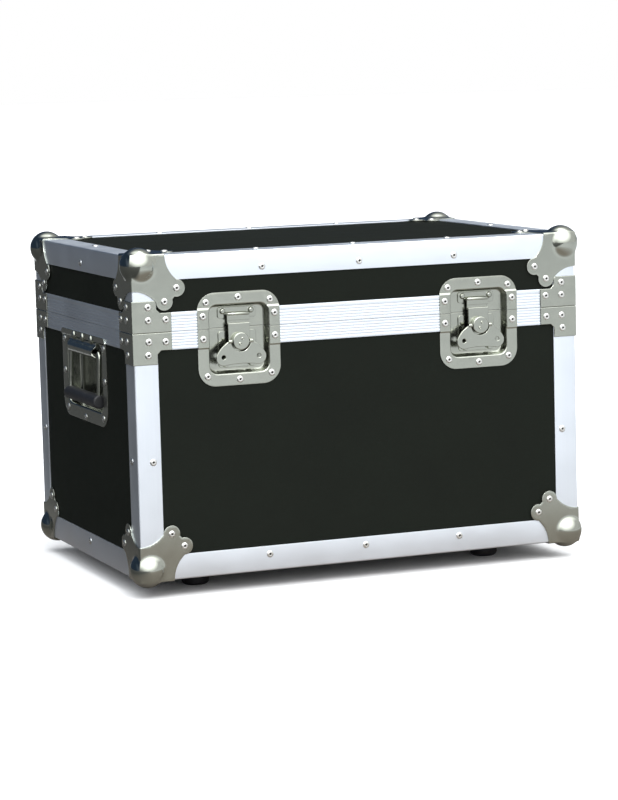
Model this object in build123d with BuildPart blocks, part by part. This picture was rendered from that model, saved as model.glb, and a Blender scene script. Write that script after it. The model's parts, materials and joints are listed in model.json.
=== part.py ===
"""Hard equipment case: plywood panels in riveted aluminium edging, hinged lid,
two recessed butterfly latches, two recessed spring handles, steel ball corners and rubber feet.

Frame: millimetres, +Z up, front of the case towards -Y, origin under the middle of the case
on the plane of the feet.  "Depth" is measured inwards from the outer face of the edging.
"""
import os
from math import cos, radians, sin

from build123d import *

os.makedirs("parts", exist_ok=True)

# ---------------------------------------------------------------- case
case_w, case_d, case_h = 578.0, 397.0, 387.0    # outside of the edging
foot_h = 22.5                                   # the case stands this far off the floor
seam_h = 295.8                                  # parting line above the underside of the case
seam_gap = 0.2                                  # each half stops this far from the parting line
ply_t = 9.0                                     # laminated plywood panels
skin_t = 1.6                                    # wall of the aluminium edging
edge_leg = 30.0                                 # leg of the edging angle
plate_t = 1.2                                   # pressed steel of dishes and hinge leaves
brace_t = 1.3                                   # pressed steel of corners and braces
fit_gap = 0.3                                   # running clearance between moving pieces
snug_gap = 0.1                                  # clearance between pieces that don't move
cut_gap = 0.5                                   # panels are cut out this much wider than a dish
clear_out = 5.0                                 # cutting tools start this far outside a face
flange_reach, deep_reach = 10.0, 60.0           # deeper than any flange, and than any dish

half_w, half_d = case_w / 2, case_d / 2
z_bottom = foot_h
z_top = z_bottom + case_h
z_seam = z_bottom + seam_h
wall_in = skin_t + ply_t                        # depth of a panel's inner face

# ---------------------------------------------------------------- rim (tongue and groove)
rim_base_h, rim_lid_h = 21.3, 23.0              # visible height of the two halves
rim_base_web, rim_lid_web = 3.0, 5.0            # web that caps the panel's edge
rim_inner_h = 16.0                              # inner leg
rim_depth = wall_in + skin_t                    # depth of the rim's inner face
tongue_h, tongue_root, tongue_tip = 3.0, 3.0, 1.4
groove_h, groove_root, groove_tip = 3.7, 5.0, 2.9
tongue_depth = 6.6                              # depth of the tongue's middle
rib_pitch, rib_cut, rib_w, rib_count = 3.4, 0.5, 0.9, 5
rail_reach = 40.0                               # deeper and taller than any rail

# ---------------------------------------------------------------- ball corners and braces
ball_r, ball_inset = 21.5, 12.6                 # ball radius, centre below each face
leg_end = 41.8                                  # corner plate's reach along an edge
waist_along, waist_in = 45.2, 16.0              # a point on the hollow side of the plate
lobe_far, lobe_near, lobe_r = 55.3, 39.8, 10.4  # rivet lobes
brace_leg, brace_arm = 29.5, 48.0               # upright leg and arm of a brace
brace_rise = 37.7                               # height from the parting line
brace_cut = 4.5                                 # slanted inner corner

# ---------------------------------------------------------------- rivets
rivet_r, rivet_h, mandrel_r, mandrel_h = 4.2, 1.5, 1.4, 1.0
edge_rivet_in = 20.0                            # from the edge of the case
edge_rivet_pitch = 125.2
upright_rivet_h = 142.5
rivet_taper = 30.0                              # slope of the head's side, in degrees
# Places of the rivets: along and across from the corner, the seam or the latch dish's centre.
lid_brace_rivets = ((19.0, 30.1), (19.0, 14.7), (40.8, 14.7))
base_brace_rivets = ((19.0, 10.7), (40.0, 11.3), (18.0, 26.5))
latch_top_rivets = ((-40.5, 44.3), (0.0, 49.0), (40.5, 44.3))
latch_low_rivets = ((-40.5, -43.7), (0.0, -49.0), (40.5, -43.7))
latch_side_x, lid_latch_side_z, base_latch_side_z = 45.3, 28.1, 1.1
handle_middle_rivet = 176.0                     # above the underside of the case
handle_side_rivets = ((81.2, 227.3), (72.1, 181.4), (80.0, 267.5))

# ---------------------------------------------------------------- latches
latch_x = 156.7                                 # centre of a latch from the middle
latch_z = z_seam - 12.8                         # centre of the dish
latch_w, latch_h, latch_corner = 104.0, 111.6, 22.0
pan_w, pan_h, pan_corner = 74.6, 81.4, 10.0     # mouth of the recess
pan_shift = -0.2                                # mouth against dish centre, upwards
pan_depth = 11.0
step_run = 2.2                                  # slope where the flange steps over the rim
mech_dx = 1.0                                   # mechanism right of the dish centre
mech_z = z_seam - 16.0                          # turning axis
stroke = 3.0                                    # hook travel, twice the cam's eccentricity
boss_r, boss_front, boss_back, boss_cut = 10.5, -5.0, 1.4, 0.8
cam_r, cam_back = 7.2, 4.4
shaft_r, shaft_end = 5.0, 10.8
hook_front, hook_back = 1.8, 4.0
hook_w, hook_low, hook_top = 27.0, -14.0, 21.3
nose_front, nose_back, nose_top, nose_fold = 6.2, 7.7, 26.5, 2.2
cam_gap = 0.5
base_plate_t, base_plate_w, base_plate_corner = 1.4, 48.0, 4.0
base_plate_low, base_plate_high = -32.0, 12.0
stop_x, stop_r, stop_proud, stop_in = 16.4, 3.0, 5.0, 4.0
wing_front, wing_back, wing_hole_r = -3.5, -1.5, 2.5
wing_cut_r = 12.3                               # hollow round the boss
wing_pin_r, wing_ear_r, wing_pin_depth = 1.3, 2.3, -2.5
wing_shoulder_x, wing_shoulder_z = 24.8, -7.2   # half outline of the wing, from its axis
wing_side_x, wing_side_z = 31.2, -16.0
wing_corner_x, wing_corner_z = 29.6, -25.0
wing_foot_x, wing_foot_z, wing_waist_z = 21.5, -28.6, -26.8
wing_hole_x, wing_hole_z = 22.3, -18.4
ear_in, ear_out = 11.1, 15.5
keeper_w, keeper_low, keeper_high, keeper_t, keeper_corner = 48.0, 27.0, 40.0, 1.5, 3.0
lip_w, lip_front, lip_low, lip_high = 29.0, 3.6, 24.7, 32.7
stud_x, stud_z, stud_r, stud_h, stud_round = 17.95, 35.5, 3.4, 2.6, 1.8

# ---------------------------------------------------------------- handles
handle_low, handle_high = z_bottom + 171.0, z_bottom + 281.0
handle_w, handle_corner, handle_top_corner = 180.0, 24.0, 8.0
grip_pan_w, grip_pan_low, grip_pan_high = 143.0, z_bottom + 188.0, z_bottom + 270.0
grip_pan_corner, grip_pan_depth = 12.0, 19.6
swing_z, swing_depth = z_bottom + 261.0, 2.3    # swing axis of the bail
bail_drop, bail_lean = 60.0, 2.7                # axis to grip, and lean outwards in degrees
bail_half_w, bail_rod_r, bail_bend = 58.5, 3.0, 5.0
grip_r, grip_half_l, grip_round = 8.5, 62.5, 2.0
roll_half_l, roll_r, roll_t = 54.0, 8.0, 1.2
roll_lip_h, roll_lip_mid = 5.2, 8.6             # lip of the cover, above the swing axis
coil_r, coil_wire, coil_count, coil_pitch = 4.9, 0.7, 9, 1.8

# ---------------------------------------------------------------- hinges
hinge_x, hinge_w, hinge_h = 170.0, 60.0, 21.0
pivot_out = 4.0                                 # pin axis behind the back face
knuckle_r, pin_r, leaf_start = 3.2, 1.6, 2.4
knuckle_split = 14.7                            # half length of the middle knuckle
knuckle_web_z, knuckle_web_h = 1.9, 2.6         # web that joins a knuckle to its leaf
hinge_rivets = (-20.0, 0.0, 20.0)
hinge_rivet_z = 13.0

# ---------------------------------------------------------------- feet
foot_x, foot_y = half_w - 94.8, half_d - 78.7
foot_top_r, foot_low_r, foot_edge_r = 19.0, 16.0, 4.5
foot_well_r, foot_well_h = 7.5, 12.0
screw_r, screw_head_r, screw_head_h, screw_bite = 2.4, 5.5, 3.2, 6.0


def face(side, depth=0.0):
    """Plane on one side of the case, sunk by depth; local x to the right as seen, local y up."""
    if side == "front":
        return Plane(origin=(0, depth - half_d, 0), x_dir=(1, 0, 0), z_dir=(0, -1, 0))
    if side == "back":
        return Plane(origin=(0, half_d - depth, 0), x_dir=(-1, 0, 0), z_dir=(0, 1, 0))
    if side == "left":
        return Plane(origin=(depth - half_w, 0, 0), x_dir=(0, -1, 0), z_dir=(-1, 0, 0))
    if side == "right":
        return Plane(origin=(half_w - depth, 0, 0), x_dir=(0, 1, 0), z_dir=(1, 0, 0))
    if side == "top":
        return Plane(origin=(0, 0, z_top - depth), x_dir=(1, 0, 0), z_dir=(0, 0, 1))
    return Plane(origin=(0, 0, z_bottom + depth), x_dir=(1, 0, 0), z_dir=(0, 0, -1))


def save(piece, name):
    """Label a finished piece and write its file."""
    piece.part.label = name
    export_step(piece.part, f"parts/{name}.step")
    print(name, len(piece.part.solids()), round(piece.part.volume))


# ================================================================ panels
panel_w, panel_d = case_w - 2 * skin_t, case_d - 2 * skin_t
side_d = panel_d - 2 * ply_t
base_wall_low = z_bottom + wall_in
base_wall_high = z_seam - seam_gap - rim_base_web
lid_wall_low = z_seam + seam_gap + rim_lid_web
lid_wall_high = z_top - wall_in
pan_cut_w, pan_cut_h = pan_w + 2 * (plate_t + cut_gap), pan_h + 2 * (plate_t + cut_gap)
pan_mid_z = latch_z + pan_shift


def wall(side, width, low, high):
    """One upright panel, drawn on its outer face and extruded inwards."""
    with BuildPart() as panel:
        with BuildSketch(face(side, skin_t)):
            with Locations((0, (low + high) / 2)):
                Rectangle(width, high - low)
        extrude(amount=-ply_t)
    return panel


def notched_wall(side, width, low, high):
    """A front panel with the two notches that the latch dishes sink into."""
    with BuildPart() as panel:
        with BuildSketch(face(side, skin_t)):
            with Locations((0, (low + high) / 2)):
                Rectangle(width, high - low)
            with Locations((-latch_x, pan_mid_z), (latch_x, pan_mid_z)):
                Rectangle(pan_cut_w, pan_cut_h, mode=Mode.SUBTRACT)
        extrude(amount=-ply_t)
    return panel


def handle_wall(side, width, low, high):
    """An end panel of the base with the window that the handle dish sinks into."""
    with BuildPart() as panel:
        with BuildSketch(face(side, skin_t)):
            with Locations((0, (low + high) / 2)):
                Rectangle(width, high - low)
            with Locations((0, (grip_pan_low + grip_pan_high) / 2)):
                Rectangle(grip_pan_w + 2 * (plate_t + cut_gap),
                          grip_pan_high - grip_pan_low + 2 * (plate_t + cut_gap), mode=Mode.SUBTRACT)
        extrude(amount=-ply_t)
    return panel


with BuildPart() as base_bottom_panel:
    with BuildSketch(face("bottom", skin_t)):
        Rectangle(panel_w, panel_d)
    extrude(amount=-ply_t)
    with BuildSketch(face("bottom", skin_t)):
        with GridLocations(2 * foot_x, 2 * foot_y, 2, 2):
            Circle(screw_r + snug_gap)
    extrude(amount=-(screw_bite + 2 * snug_gap), mode=Mode.SUBTRACT)
save(base_bottom_panel, "base_bottom_panel")

with BuildPart() as lid_top_panel:
    with BuildSketch(face("top", skin_t)):
        Rectangle(panel_w, panel_d)
    extrude(amount=-ply_t)
save(lid_top_panel, "lid_top_panel")

save(notched_wall("front", panel_w, base_wall_low, base_wall_high), "base_front_panel")
save(wall("back", panel_w, base_wall_low, base_wall_high), "base_back_panel")
save(handle_wall("left", side_d, base_wall_low, base_wall_high), "base_left_panel")
save(handle_wall("right", side_d, base_wall_low, base_wall_high), "base_right_panel")
save(notched_wall("front", panel_w, lid_wall_low, lid_wall_high), "lid_front_panel")
save(wall("back", panel_w, lid_wall_low, lid_wall_high), "lid_back_panel")
save(wall("left", side_d, lid_wall_low, lid_wall_high), "lid_left_panel")
save(wall("right", side_d, lid_wall_low, lid_wall_high), "lid_right_panel")


# ================================================================ edging
def mitre_prism(length, across, low, high):
    """Long trapezium in plan whose 45-degree ends mitre a rail at the front of the case."""
    front_y = -across / 2
    front_x = length / 2 - snug_gap + clear_out
    back_x = length / 2 - snug_gap - rail_reach
    with BuildPart() as prism:
        with BuildSketch(Plane.XY.offset(low - clear_out)):
            with BuildLine():
                Polyline((-front_x, front_y - clear_out), (front_x, front_y - clear_out),
                         (back_x, front_y + rail_reach), (-back_x, front_y + rail_reach), close=True)
            make_face()
        extrude(amount=high - low + 2 * clear_out)
    return prism.part


def rail(outline, length, across, low, high):
    """One mitred rail of a profile (depth, height) along the front of a case of this size."""
    with BuildPart() as straight:
        with BuildSketch(Plane.YZ.offset(-length / 2)):
            with BuildLine():
                Polyline(*[(depth - across / 2, z) for depth, z in outline], close=True)
            make_face()
        extrude(amount=length)
        add(mitre_prism(length, across, low, high), mode=Mode.INTERSECT)
    return straight.part


def four_rails(outline, low, high, notches=()):
    """Run a profile along all four sides of the case; notches are cut through the front one."""
    with BuildPart() as front_rail:
        add(rail(outline, case_w, case_d, low, high))
        for notch_x, notch_w in notches:
            with Locations((notch_x, -half_d, (low + high) / 2)):
                Box(notch_w, 2 * rail_reach, 2 * rail_reach, mode=Mode.SUBTRACT)
    end_rail = rail(outline, case_d, case_w, low, high)
    with BuildPart() as rails:
        add(front_rail.part)
        mirror(rail(outline, case_w, case_d, low, high), about=Plane.XZ)
        add(end_rail.rotate(Axis.Z, -90))
        add(end_rail.rotate(Axis.Z, 90))
    return rails


bottom_edge = [(0, z_bottom), (edge_leg, z_bottom), (edge_leg, z_bottom + skin_t),
               (skin_t, z_bottom + skin_t), (skin_t, z_bottom + edge_leg), (0, z_bottom + edge_leg)]
top_edge = [(depth, z_top + z_bottom - z) for depth, z in bottom_edge]
save(four_rails(bottom_edge, z_bottom, z_bottom + edge_leg), "base_bottom_edges")
save(four_rails(top_edge, z_top - edge_leg, z_top), "lid_top_edges")


def uprights(low, high):
    """Angle edging on the four upright corners between two heights."""
    with BuildPart() as angles:
        with BuildSketch(Plane.XY.offset(low)):
            for side_x in (-1, 1):
                for side_y in (-1, 1):
                    with Locations((side_x * (half_w - edge_leg / 2), side_y * (half_d - edge_leg / 2))):
                        Rectangle(edge_leg, edge_leg)
            Rectangle(case_w - 2 * skin_t, case_d - 2 * skin_t, mode=Mode.SUBTRACT)
        extrude(amount=high - low)
    return angles


save(uprights(z_bottom + edge_leg, z_seam - rim_base_h), "base_upright_edges")
save(uprights(z_seam + rim_lid_h, z_top - edge_leg), "lid_upright_edges")


def ribbed_face(start, step):
    """Points of the ribbed outer face, from the parting line outwards along the profile."""
    points = [(0, start)]
    for i in range(rib_count):
        middle = start + step * (rib_pitch * (i + 1))
        points += [(0, middle - step * rib_w / 2), (rib_cut, middle - step * rib_w / 2),
                   (rib_cut, middle + step * rib_w / 2), (0, middle + step * rib_w / 2)]
    return points


base_rim_top = z_seam - seam_gap
base_rim = ribbed_face(base_rim_top, -1) + [
    (0, z_seam - rim_base_h), (skin_t, z_seam - rim_base_h),
    (skin_t, base_rim_top - rim_base_web), (wall_in, base_rim_top - rim_base_web),
    (wall_in, base_rim_top - rim_inner_h), (rim_depth, base_rim_top - rim_inner_h),
    (rim_depth, base_rim_top), (tongue_depth + tongue_root / 2, base_rim_top),
    (tongue_depth + tongue_tip / 2, base_rim_top + tongue_h),
    (tongue_depth - tongue_tip / 2, base_rim_top + tongue_h),
    (tongue_depth - tongue_root / 2, base_rim_top)]
lid_rim_low = z_seam + seam_gap
lid_rim = ribbed_face(lid_rim_low, 1) + [
    (0, z_seam + rim_lid_h), (skin_t, z_seam + rim_lid_h),
    (skin_t, lid_rim_low + rim_lid_web), (wall_in, lid_rim_low + rim_lid_web),
    (wall_in, lid_rim_low + rim_inner_h), (rim_depth, lid_rim_low + rim_inner_h),
    (rim_depth, lid_rim_low), (tongue_depth + groove_root / 2, lid_rim_low),
    (tongue_depth + groove_tip / 2, lid_rim_low + groove_h),
    (tongue_depth - groove_tip / 2, lid_rim_low + groove_h),
    (tongue_depth - groove_root / 2, lid_rim_low)]
rim_notches = [(x, pan_cut_w) for x in (-latch_x, latch_x)]
save(four_rails(base_rim, z_seam - rim_base_h, z_seam + tongue_h, rim_notches), "base_rim")
save(four_rails(lid_rim, z_seam, z_seam + rim_lid_h, rim_notches), "lid_rim")


# ================================================================ ball corners and braces
def corner_outline(corner_x, corner_y, sign_x, sign_y):
    """Clover-shaped plate on one face; local axes run from the corner along the two edges."""
    def at(along, inwards):
        return (corner_x + sign_x * along, corner_y + sign_y * inwards)

    with BuildSketch() as plate:
        with BuildLine():
            Polyline(at(0, leg_end), at(-brace_t, leg_end), at(-brace_t, -brace_t),
                     at(leg_end, -brace_t), at(leg_end, 0))
            ThreePointArc(at(leg_end, 0), at(waist_along, waist_in), at(lobe_far, lobe_near - lobe_r))
            Polyline(at(lobe_far, lobe_near - lobe_r), at(lobe_far, lobe_near),
                     at(lobe_near, lobe_far), at(lobe_near - lobe_r, lobe_far))
            ThreePointArc(at(lobe_near - lobe_r, lobe_far), at(waist_in, waist_along), at(0, leg_end))
        make_face()
        with Locations(at(lobe_far, lobe_near), at(lobe_near, lobe_far)):
            Circle(lobe_r)
    return plate.sketch


def lobe_pads(corner_x, corner_y, sign_x, sign_y):
    """The part of the plate beyond the edging, which is pressed down onto the panel."""
    with BuildSketch() as pads:
        add(corner_outline(corner_x, corner_y, sign_x, sign_y))
        middle_in = edge_leg + rail_reach / 2
        with Locations((corner_x + sign_x * middle_in, corner_y + sign_y * middle_in)):
            Rectangle(rail_reach, rail_reach, mode=Mode.INTERSECT)
    return pads.sketch


def ball_corners(at_top):
    """Four pressed corners with a ball, all at the top or all at the bottom of the case."""
    level = z_top if at_top else z_bottom
    inwards = -1 if at_top else 1
    flat = "top" if at_top else "bottom"
    flat_sign = 1 if at_top else -1
    with BuildPart() as corner:
        for outline, depth, thickness in ((corner_outline, 0.0, brace_t), (lobe_pads, skin_t, skin_t)):
            with BuildSketch(face("front", depth)):
                add(outline(-half_w, level, 1, inwards))
            extrude(amount=thickness)
            with BuildSketch(face("left", depth)):
                add(outline(half_d, level, -1, inwards))
            extrude(amount=thickness)
            with BuildSketch(face(flat, depth)):
                add(outline(-half_w, -half_d * flat_sign, 1, flat_sign))
            extrude(amount=thickness)
        with Locations((-half_w + ball_inset, -half_d + ball_inset, level + inwards * ball_inset)):
            Sphere(ball_r)
        with Locations((0, 0, (z_bottom + z_top) / 2)):
            Box(panel_w, panel_d, case_h - 2 * skin_t, mode=Mode.SUBTRACT)
        edging = [(case_w, edge_leg, edge_leg), (edge_leg, case_d, edge_leg), (edge_leg, edge_leg, case_h)]
        for size_x, size_y, size_z in edging:
            middle_z = level + inwards * size_z / 2
            with Locations((-half_w + size_x / 2, -half_d + size_y / 2, middle_z)):
                Box(size_x, size_y, size_z, mode=Mode.SUBTRACT)
    with BuildPart() as pair:
        add(corner.part)
        mirror(corner.part, about=Plane.YZ)
    with BuildPart() as four:
        add(pair.part)
        mirror(pair.part, about=Plane.XZ)
    return four


base_ball_corners = ball_corners(False)
save(base_ball_corners, "base_ball_corners")
lid_ball_corners = ball_corners(True)
save(lid_ball_corners, "lid_ball_corners")


def braces(direction, rim_h, clear_of):
    """Four L-shaped braces that wrap the upright corners next to the parting line."""
    near = z_seam + direction * seam_gap
    with BuildPart() as brace:
        for side, corner_x, sign in (("front", -half_w, 1), ("left", half_d, -1)):
            with BuildSketch(face(side)):
                with BuildLine():
                    Polyline((corner_x - sign * brace_t, near), (corner_x + sign * brace_arm, near),
                             (corner_x + sign * brace_arm, z_seam + direction * rim_h),
                             (corner_x + sign * (brace_leg + brace_cut), z_seam + direction * rim_h),
                             (corner_x + sign * brace_leg, z_seam + direction * (rim_h + brace_cut)),
                             (corner_x + sign * brace_leg, z_seam + direction * brace_rise),
                             (corner_x - sign * brace_t, z_seam + direction * brace_rise), close=True)
                make_face()
            extrude(amount=brace_t)
    with BuildPart() as pair:
        add(brace.part)
        mirror(brace.part, about=Plane.YZ)
    with BuildPart() as four:
        add(pair.part)
        mirror(pair.part, about=Plane.XZ)
        add(clear_of.part, mode=Mode.SUBTRACT)
    return four


save(braces(-1, rim_base_h, base_ball_corners), "base_corner_braces")
save(braces(1, rim_lid_h, lid_ball_corners), "lid_corner_braces")


# ================================================================ latches
def stepped_sheet(low, high, reach):
    """Side outline (y, z) of the front flange: flat on the panel, stepped out over the rim.

    reach is the depth of the outline's back, so a large reach gives the whole body behind it.
    """
    rim_low, rim_high = z_seam - rim_base_h, z_seam + rim_lid_h
    out, flat = -plate_t, skin_t - plate_t
    front_line = [(out, rim_low - fit_gap), (out, rim_high + fit_gap),
                  (flat, rim_high + step_run), (flat, high), (reach, high),
                  (reach, low), (flat, low), (flat, rim_low - step_run)]
    return [(depth - half_d, z) for depth, z in front_line]


def flange_back():
    """Side outline (y, z) of everything behind the flange sheet."""
    rim_low, rim_high = z_seam - rim_base_h, z_seam + rim_lid_h
    back_line = [(0, rim_low - fit_gap), (0, rim_high + fit_gap), (skin_t, rim_high + step_run),
                 (skin_t, z_top), (deep_reach, z_top), (deep_reach, z_bottom), (skin_t, z_bottom),
                 (skin_t, rim_low - step_run)]
    return [(depth - half_d, z) for depth, z in back_line]


def latch_dish(x, upper):
    """One half of a latch dish: stepped flange and recess, cut at the parting line."""
    low = z_seam + seam_gap if upper else latch_z - latch_h / 2
    high = latch_z + latch_h / 2 if upper else z_seam - seam_gap
    with BuildPart() as flange:
        with BuildSketch(Plane.YZ.offset(x - latch_w / 2)):
            with BuildLine():
                Polyline(*stepped_sheet(latch_z - latch_h, latch_z + latch_h, flange_reach), close=True)
            make_face()
            with BuildLine():
                Polyline(*flange_back(), close=True)
            make_face(mode=Mode.SUBTRACT)
        extrude(amount=latch_w)
        with BuildSketch(face("front", -clear_out)):
            with Locations((x, latch_z)):
                RectangleRounded(latch_w, latch_h, latch_corner)
        extrude(amount=-(clear_out + flange_reach), mode=Mode.INTERSECT)
    with BuildPart() as pan:
        with BuildSketch(Plane.YZ.offset(x - latch_w / 2)):
            with BuildLine():
                Polyline(*stepped_sheet(latch_z - latch_h, latch_z + latch_h, deep_reach), close=True)
            make_face()
        extrude(amount=latch_w)
        with BuildSketch(face("front", -clear_out)):
            with Locations((x, pan_mid_z)):
                RectangleRounded(pan_w + 2 * plate_t, pan_h + 2 * plate_t, pan_corner + plate_t)
        extrude(amount=-(clear_out + pan_depth + plate_t), mode=Mode.INTERSECT)
    with BuildPart() as dish:
        add(flange.part)
        add(pan.part)
        with BuildSketch(face("front", -clear_out)):
            with Locations((x, pan_mid_z)):
                RectangleRounded(pan_w, pan_h, pan_corner)
        extrude(amount=-(clear_out + pan_depth), mode=Mode.SUBTRACT)
        with Locations((x, -half_d, (low + high) / 2)):
            Box(latch_w + 2 * clear_out, 2 * rail_reach, high - low, mode=Mode.INTERSECT)
    return dish


def keeper(x):
    """Plate in the upper dish with a raised lip that the hook's nose stands behind."""
    mx = x + mech_dx
    with BuildPart() as plate:
        with BuildSketch(face("front", pan_depth)):
            with Locations((mx, mech_z + (keeper_low + keeper_high) / 2)):
                RectangleRounded(keeper_w, keeper_high - keeper_low, keeper_corner)
        extrude(amount=keeper_t)
        with BuildSketch(Plane.YZ.offset(mx - lip_w / 2)):
            lip_back = lip_front + keeper_t
            with BuildLine():
                Polyline(*[(depth - half_d, mech_z + z) for depth, z in (
                    (lip_front, lip_low), (lip_back, lip_low), (lip_back, lip_high - keeper_t),
                    (pan_depth, lip_high - keeper_t), (pan_depth, lip_high), (lip_front, lip_high))],
                    close=True)
            make_face()
        extrude(amount=lip_w)
        with BuildSketch(face("front", pan_depth - keeper_t)):
            with Locations((mx - stud_x, mech_z + stud_z), (mx + stud_x, mech_z + stud_z)):
                Circle(stud_r)
        extrude(amount=stud_h)
        stud_rims = plate.edges().filter_by(GeomType.CIRCLE).sort_by(Axis.Y).filter_by(
            lambda edge: abs(edge.radius - stud_r) < fit_gap)[:2]
        fillet(stud_rims, stud_round)
    return plate


def latch_base_plate(x):
    """Bearing plate on the floor of the lower dish, with two raised stops for the wing."""
    mx = x + mech_dx
    with BuildPart() as plate:
        with BuildSketch(face("front", pan_depth)):
            with Locations((mx, mech_z + (base_plate_low + base_plate_high) / 2)):
                RectangleRounded(base_plate_w, base_plate_high - base_plate_low, base_plate_corner)
            with Locations((mx, mech_z)):
                Circle(shaft_r + fit_gap, mode=Mode.SUBTRACT)
        extrude(amount=base_plate_t)
        with BuildSketch(face("front", pan_depth - base_plate_t)):
            with Locations((mx - stop_x, mech_z + base_plate_low + stop_in),
                           (mx + stop_x, mech_z + base_plate_low + stop_in)):
                Circle(stop_r)
        extrude(amount=stop_proud)
    return plate


def rotor(x):
    """Turning boss with its cam and shaft; the cam sits low when the latch is closed."""
    mx = x + mech_dx
    with BuildPart() as boss:
        with BuildSketch(face("front", boss_front)):
            with Locations((mx, mech_z)):
                Circle(boss_r)
        extrude(amount=-(boss_back - boss_front))
        with BuildSketch(face("front", boss_back)):
            with Locations((mx, mech_z - stroke / 2)):
                Circle(cam_r)
        extrude(amount=-(cam_back - boss_back))
        with BuildSketch(face("front", cam_back)):
            with Locations((mx, mech_z)):
                Circle(shaft_r)
        extrude(amount=-(shaft_end - cam_back))
        with BuildSketch(Plane.YZ.offset(mx - boss_r - 1)):
            with Locations((wing_pin_depth - half_d, mech_z)):
                Circle(wing_pin_r + snug_gap)
        extrude(amount=2 * boss_r + 2, mode=Mode.SUBTRACT)
        front_rim = boss.edges().filter_by(GeomType.CIRCLE).sort_by(Axis.Y)[0]
        chamfer(front_rim, boss_cut)
    return boss


def hook(x):
    """Sliding plate with the cam's window; its top folds back into the nose."""
    mx = x + mech_dx
    with BuildPart() as plate:
        with BuildSketch(Plane.YZ.offset(mx - hook_w / 2)):
            with BuildLine():
                Polyline(*[(depth - half_d, mech_z + z) for depth, z in (
                    (hook_front, hook_low), (hook_back, hook_low), (hook_back, hook_top - nose_fold),
                    (nose_back, hook_top - nose_fold), (nose_back, nose_top), (nose_front, nose_top),
                    (nose_front, hook_top), (hook_front, hook_top))], close=True)
            make_face()
        extrude(amount=hook_w)
        with BuildSketch(face("front", hook_front)):
            with Locations((mx, mech_z - stroke / 2)):
                SlotCenterToCenter(2 * (stroke / 2 + cam_gap), 2 * (cam_r + cam_gap))
        extrude(amount=-(hook_back - hook_front), mode=Mode.SUBTRACT)
    return plate


def wing(x):
    """Butterfly plate that folds out on a pin through the boss and turns it."""
    mx = x + mech_dx
    with BuildPart() as plate:
        with BuildSketch(Plane(origin=(mx, wing_front - half_d, mech_z), x_dir=(1, 0, 0), z_dir=(0, -1, 0))):
            with BuildLine():
                Line((ear_out, 0), (-ear_out, 0))
                for sign in (-1, 1):
                    ThreePointArc((sign * ear_out, 0), (sign * wing_shoulder_x, wing_shoulder_z),
                                  (sign * wing_side_x, wing_side_z))
                    ThreePointArc((sign * wing_side_x, wing_side_z), (sign * wing_corner_x, wing_corner_z),
                                  (sign * wing_foot_x, wing_foot_z))
                ThreePointArc((-wing_foot_x, wing_foot_z), (0, wing_waist_z), (wing_foot_x, wing_foot_z))
            make_face()
            Circle(wing_cut_r, mode=Mode.SUBTRACT)
            with Locations((-wing_hole_x, wing_hole_z), (wing_hole_x, wing_hole_z)):
                Circle(wing_hole_r, mode=Mode.SUBTRACT)
        extrude(amount=-(wing_back - wing_front))
        for start in (mx - ear_out, mx + ear_in):
            with BuildSketch(Plane.YZ.offset(start)):
                with Locations((wing_pin_depth - half_d, mech_z)):
                    Circle(wing_ear_r)
            extrude(amount=ear_out - ear_in)
        with BuildSketch(Plane.YZ.offset(mx - ear_out)):
            with Locations((wing_pin_depth - half_d, mech_z)):
                Circle(wing_pin_r + fit_gap)
        extrude(amount=2 * ear_out, mode=Mode.SUBTRACT)
    return plate


def wing_pin(x):
    """Pin through the boss and the wing's two ears."""
    with BuildPart() as pin:
        with BuildSketch(Plane.YZ.offset(x + mech_dx - ear_out)):
            with Locations((wing_pin_depth - half_d, mech_z)):
                Circle(wing_pin_r)
        extrude(amount=2 * ear_out)
    return pin


for name, x in (("left", -latch_x), ("right", latch_x)):
    save(latch_dish(x, True), f"{name}_latch_upper_dish")
    save(latch_dish(x, False), f"{name}_latch_lower_dish")
    save(keeper(x), f"{name}_latch_keeper")
    save(latch_base_plate(x), f"{name}_latch_base_plate")
    save(rotor(x), f"{name}_latch_rotor")
    save(hook(x), f"{name}_latch_hook")
    save(wing(x), f"{name}_latch_wing")
    save(wing_pin(x), f"{name}_latch_wing_pin")


# ================================================================ handles
def handle_sheet(reach):
    """Side outline (depth, height) of the handle's flange, stepped out over the rim at its top."""
    rim_low = z_seam - rim_base_h
    out, flat = -plate_t, skin_t - plate_t
    return [(out, handle_high), (reach, handle_high), (reach, handle_low), (flat, handle_low),
            (flat, rim_low - step_run), (out, rim_low - fit_gap)]


def handle_back():
    """Side outline (depth, height) of everything behind the handle's flange sheet."""
    rim_low = z_seam - rim_base_h
    return [(0, z_top), (deep_reach, z_top), (deep_reach, z_bottom), (skin_t, z_bottom),
            (skin_t, rim_low - step_run), (0, rim_low - fit_gap)]


def side_profile(points):
    """Points (depth, height) of the left side as (x, z) in the plane that faces -Y."""
    return [(depth - half_w, z) for depth, z in points]


with BuildPart() as left_handle_flange:
    with BuildSketch(Plane.XZ.offset(-handle_w / 2)):
        with BuildLine():
            Polyline(*side_profile(handle_sheet(flange_reach)), close=True)
        make_face()
        with BuildLine():
            Polyline(*side_profile(handle_back()), close=True)
        make_face(mode=Mode.SUBTRACT)
    extrude(amount=handle_w)
    with BuildSketch(face("left", -clear_out)) as handle_outline:
        with Locations((0, (handle_low + handle_high) / 2)):
            Rectangle(handle_w, handle_high - handle_low)
        fillet(handle_outline.vertices().group_by(Axis.Z)[0], handle_corner)
        fillet(handle_outline.vertices().group_by(Axis.Z)[-1], handle_top_corner)
    extrude(amount=-(clear_out + flange_reach), mode=Mode.INTERSECT)

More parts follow.
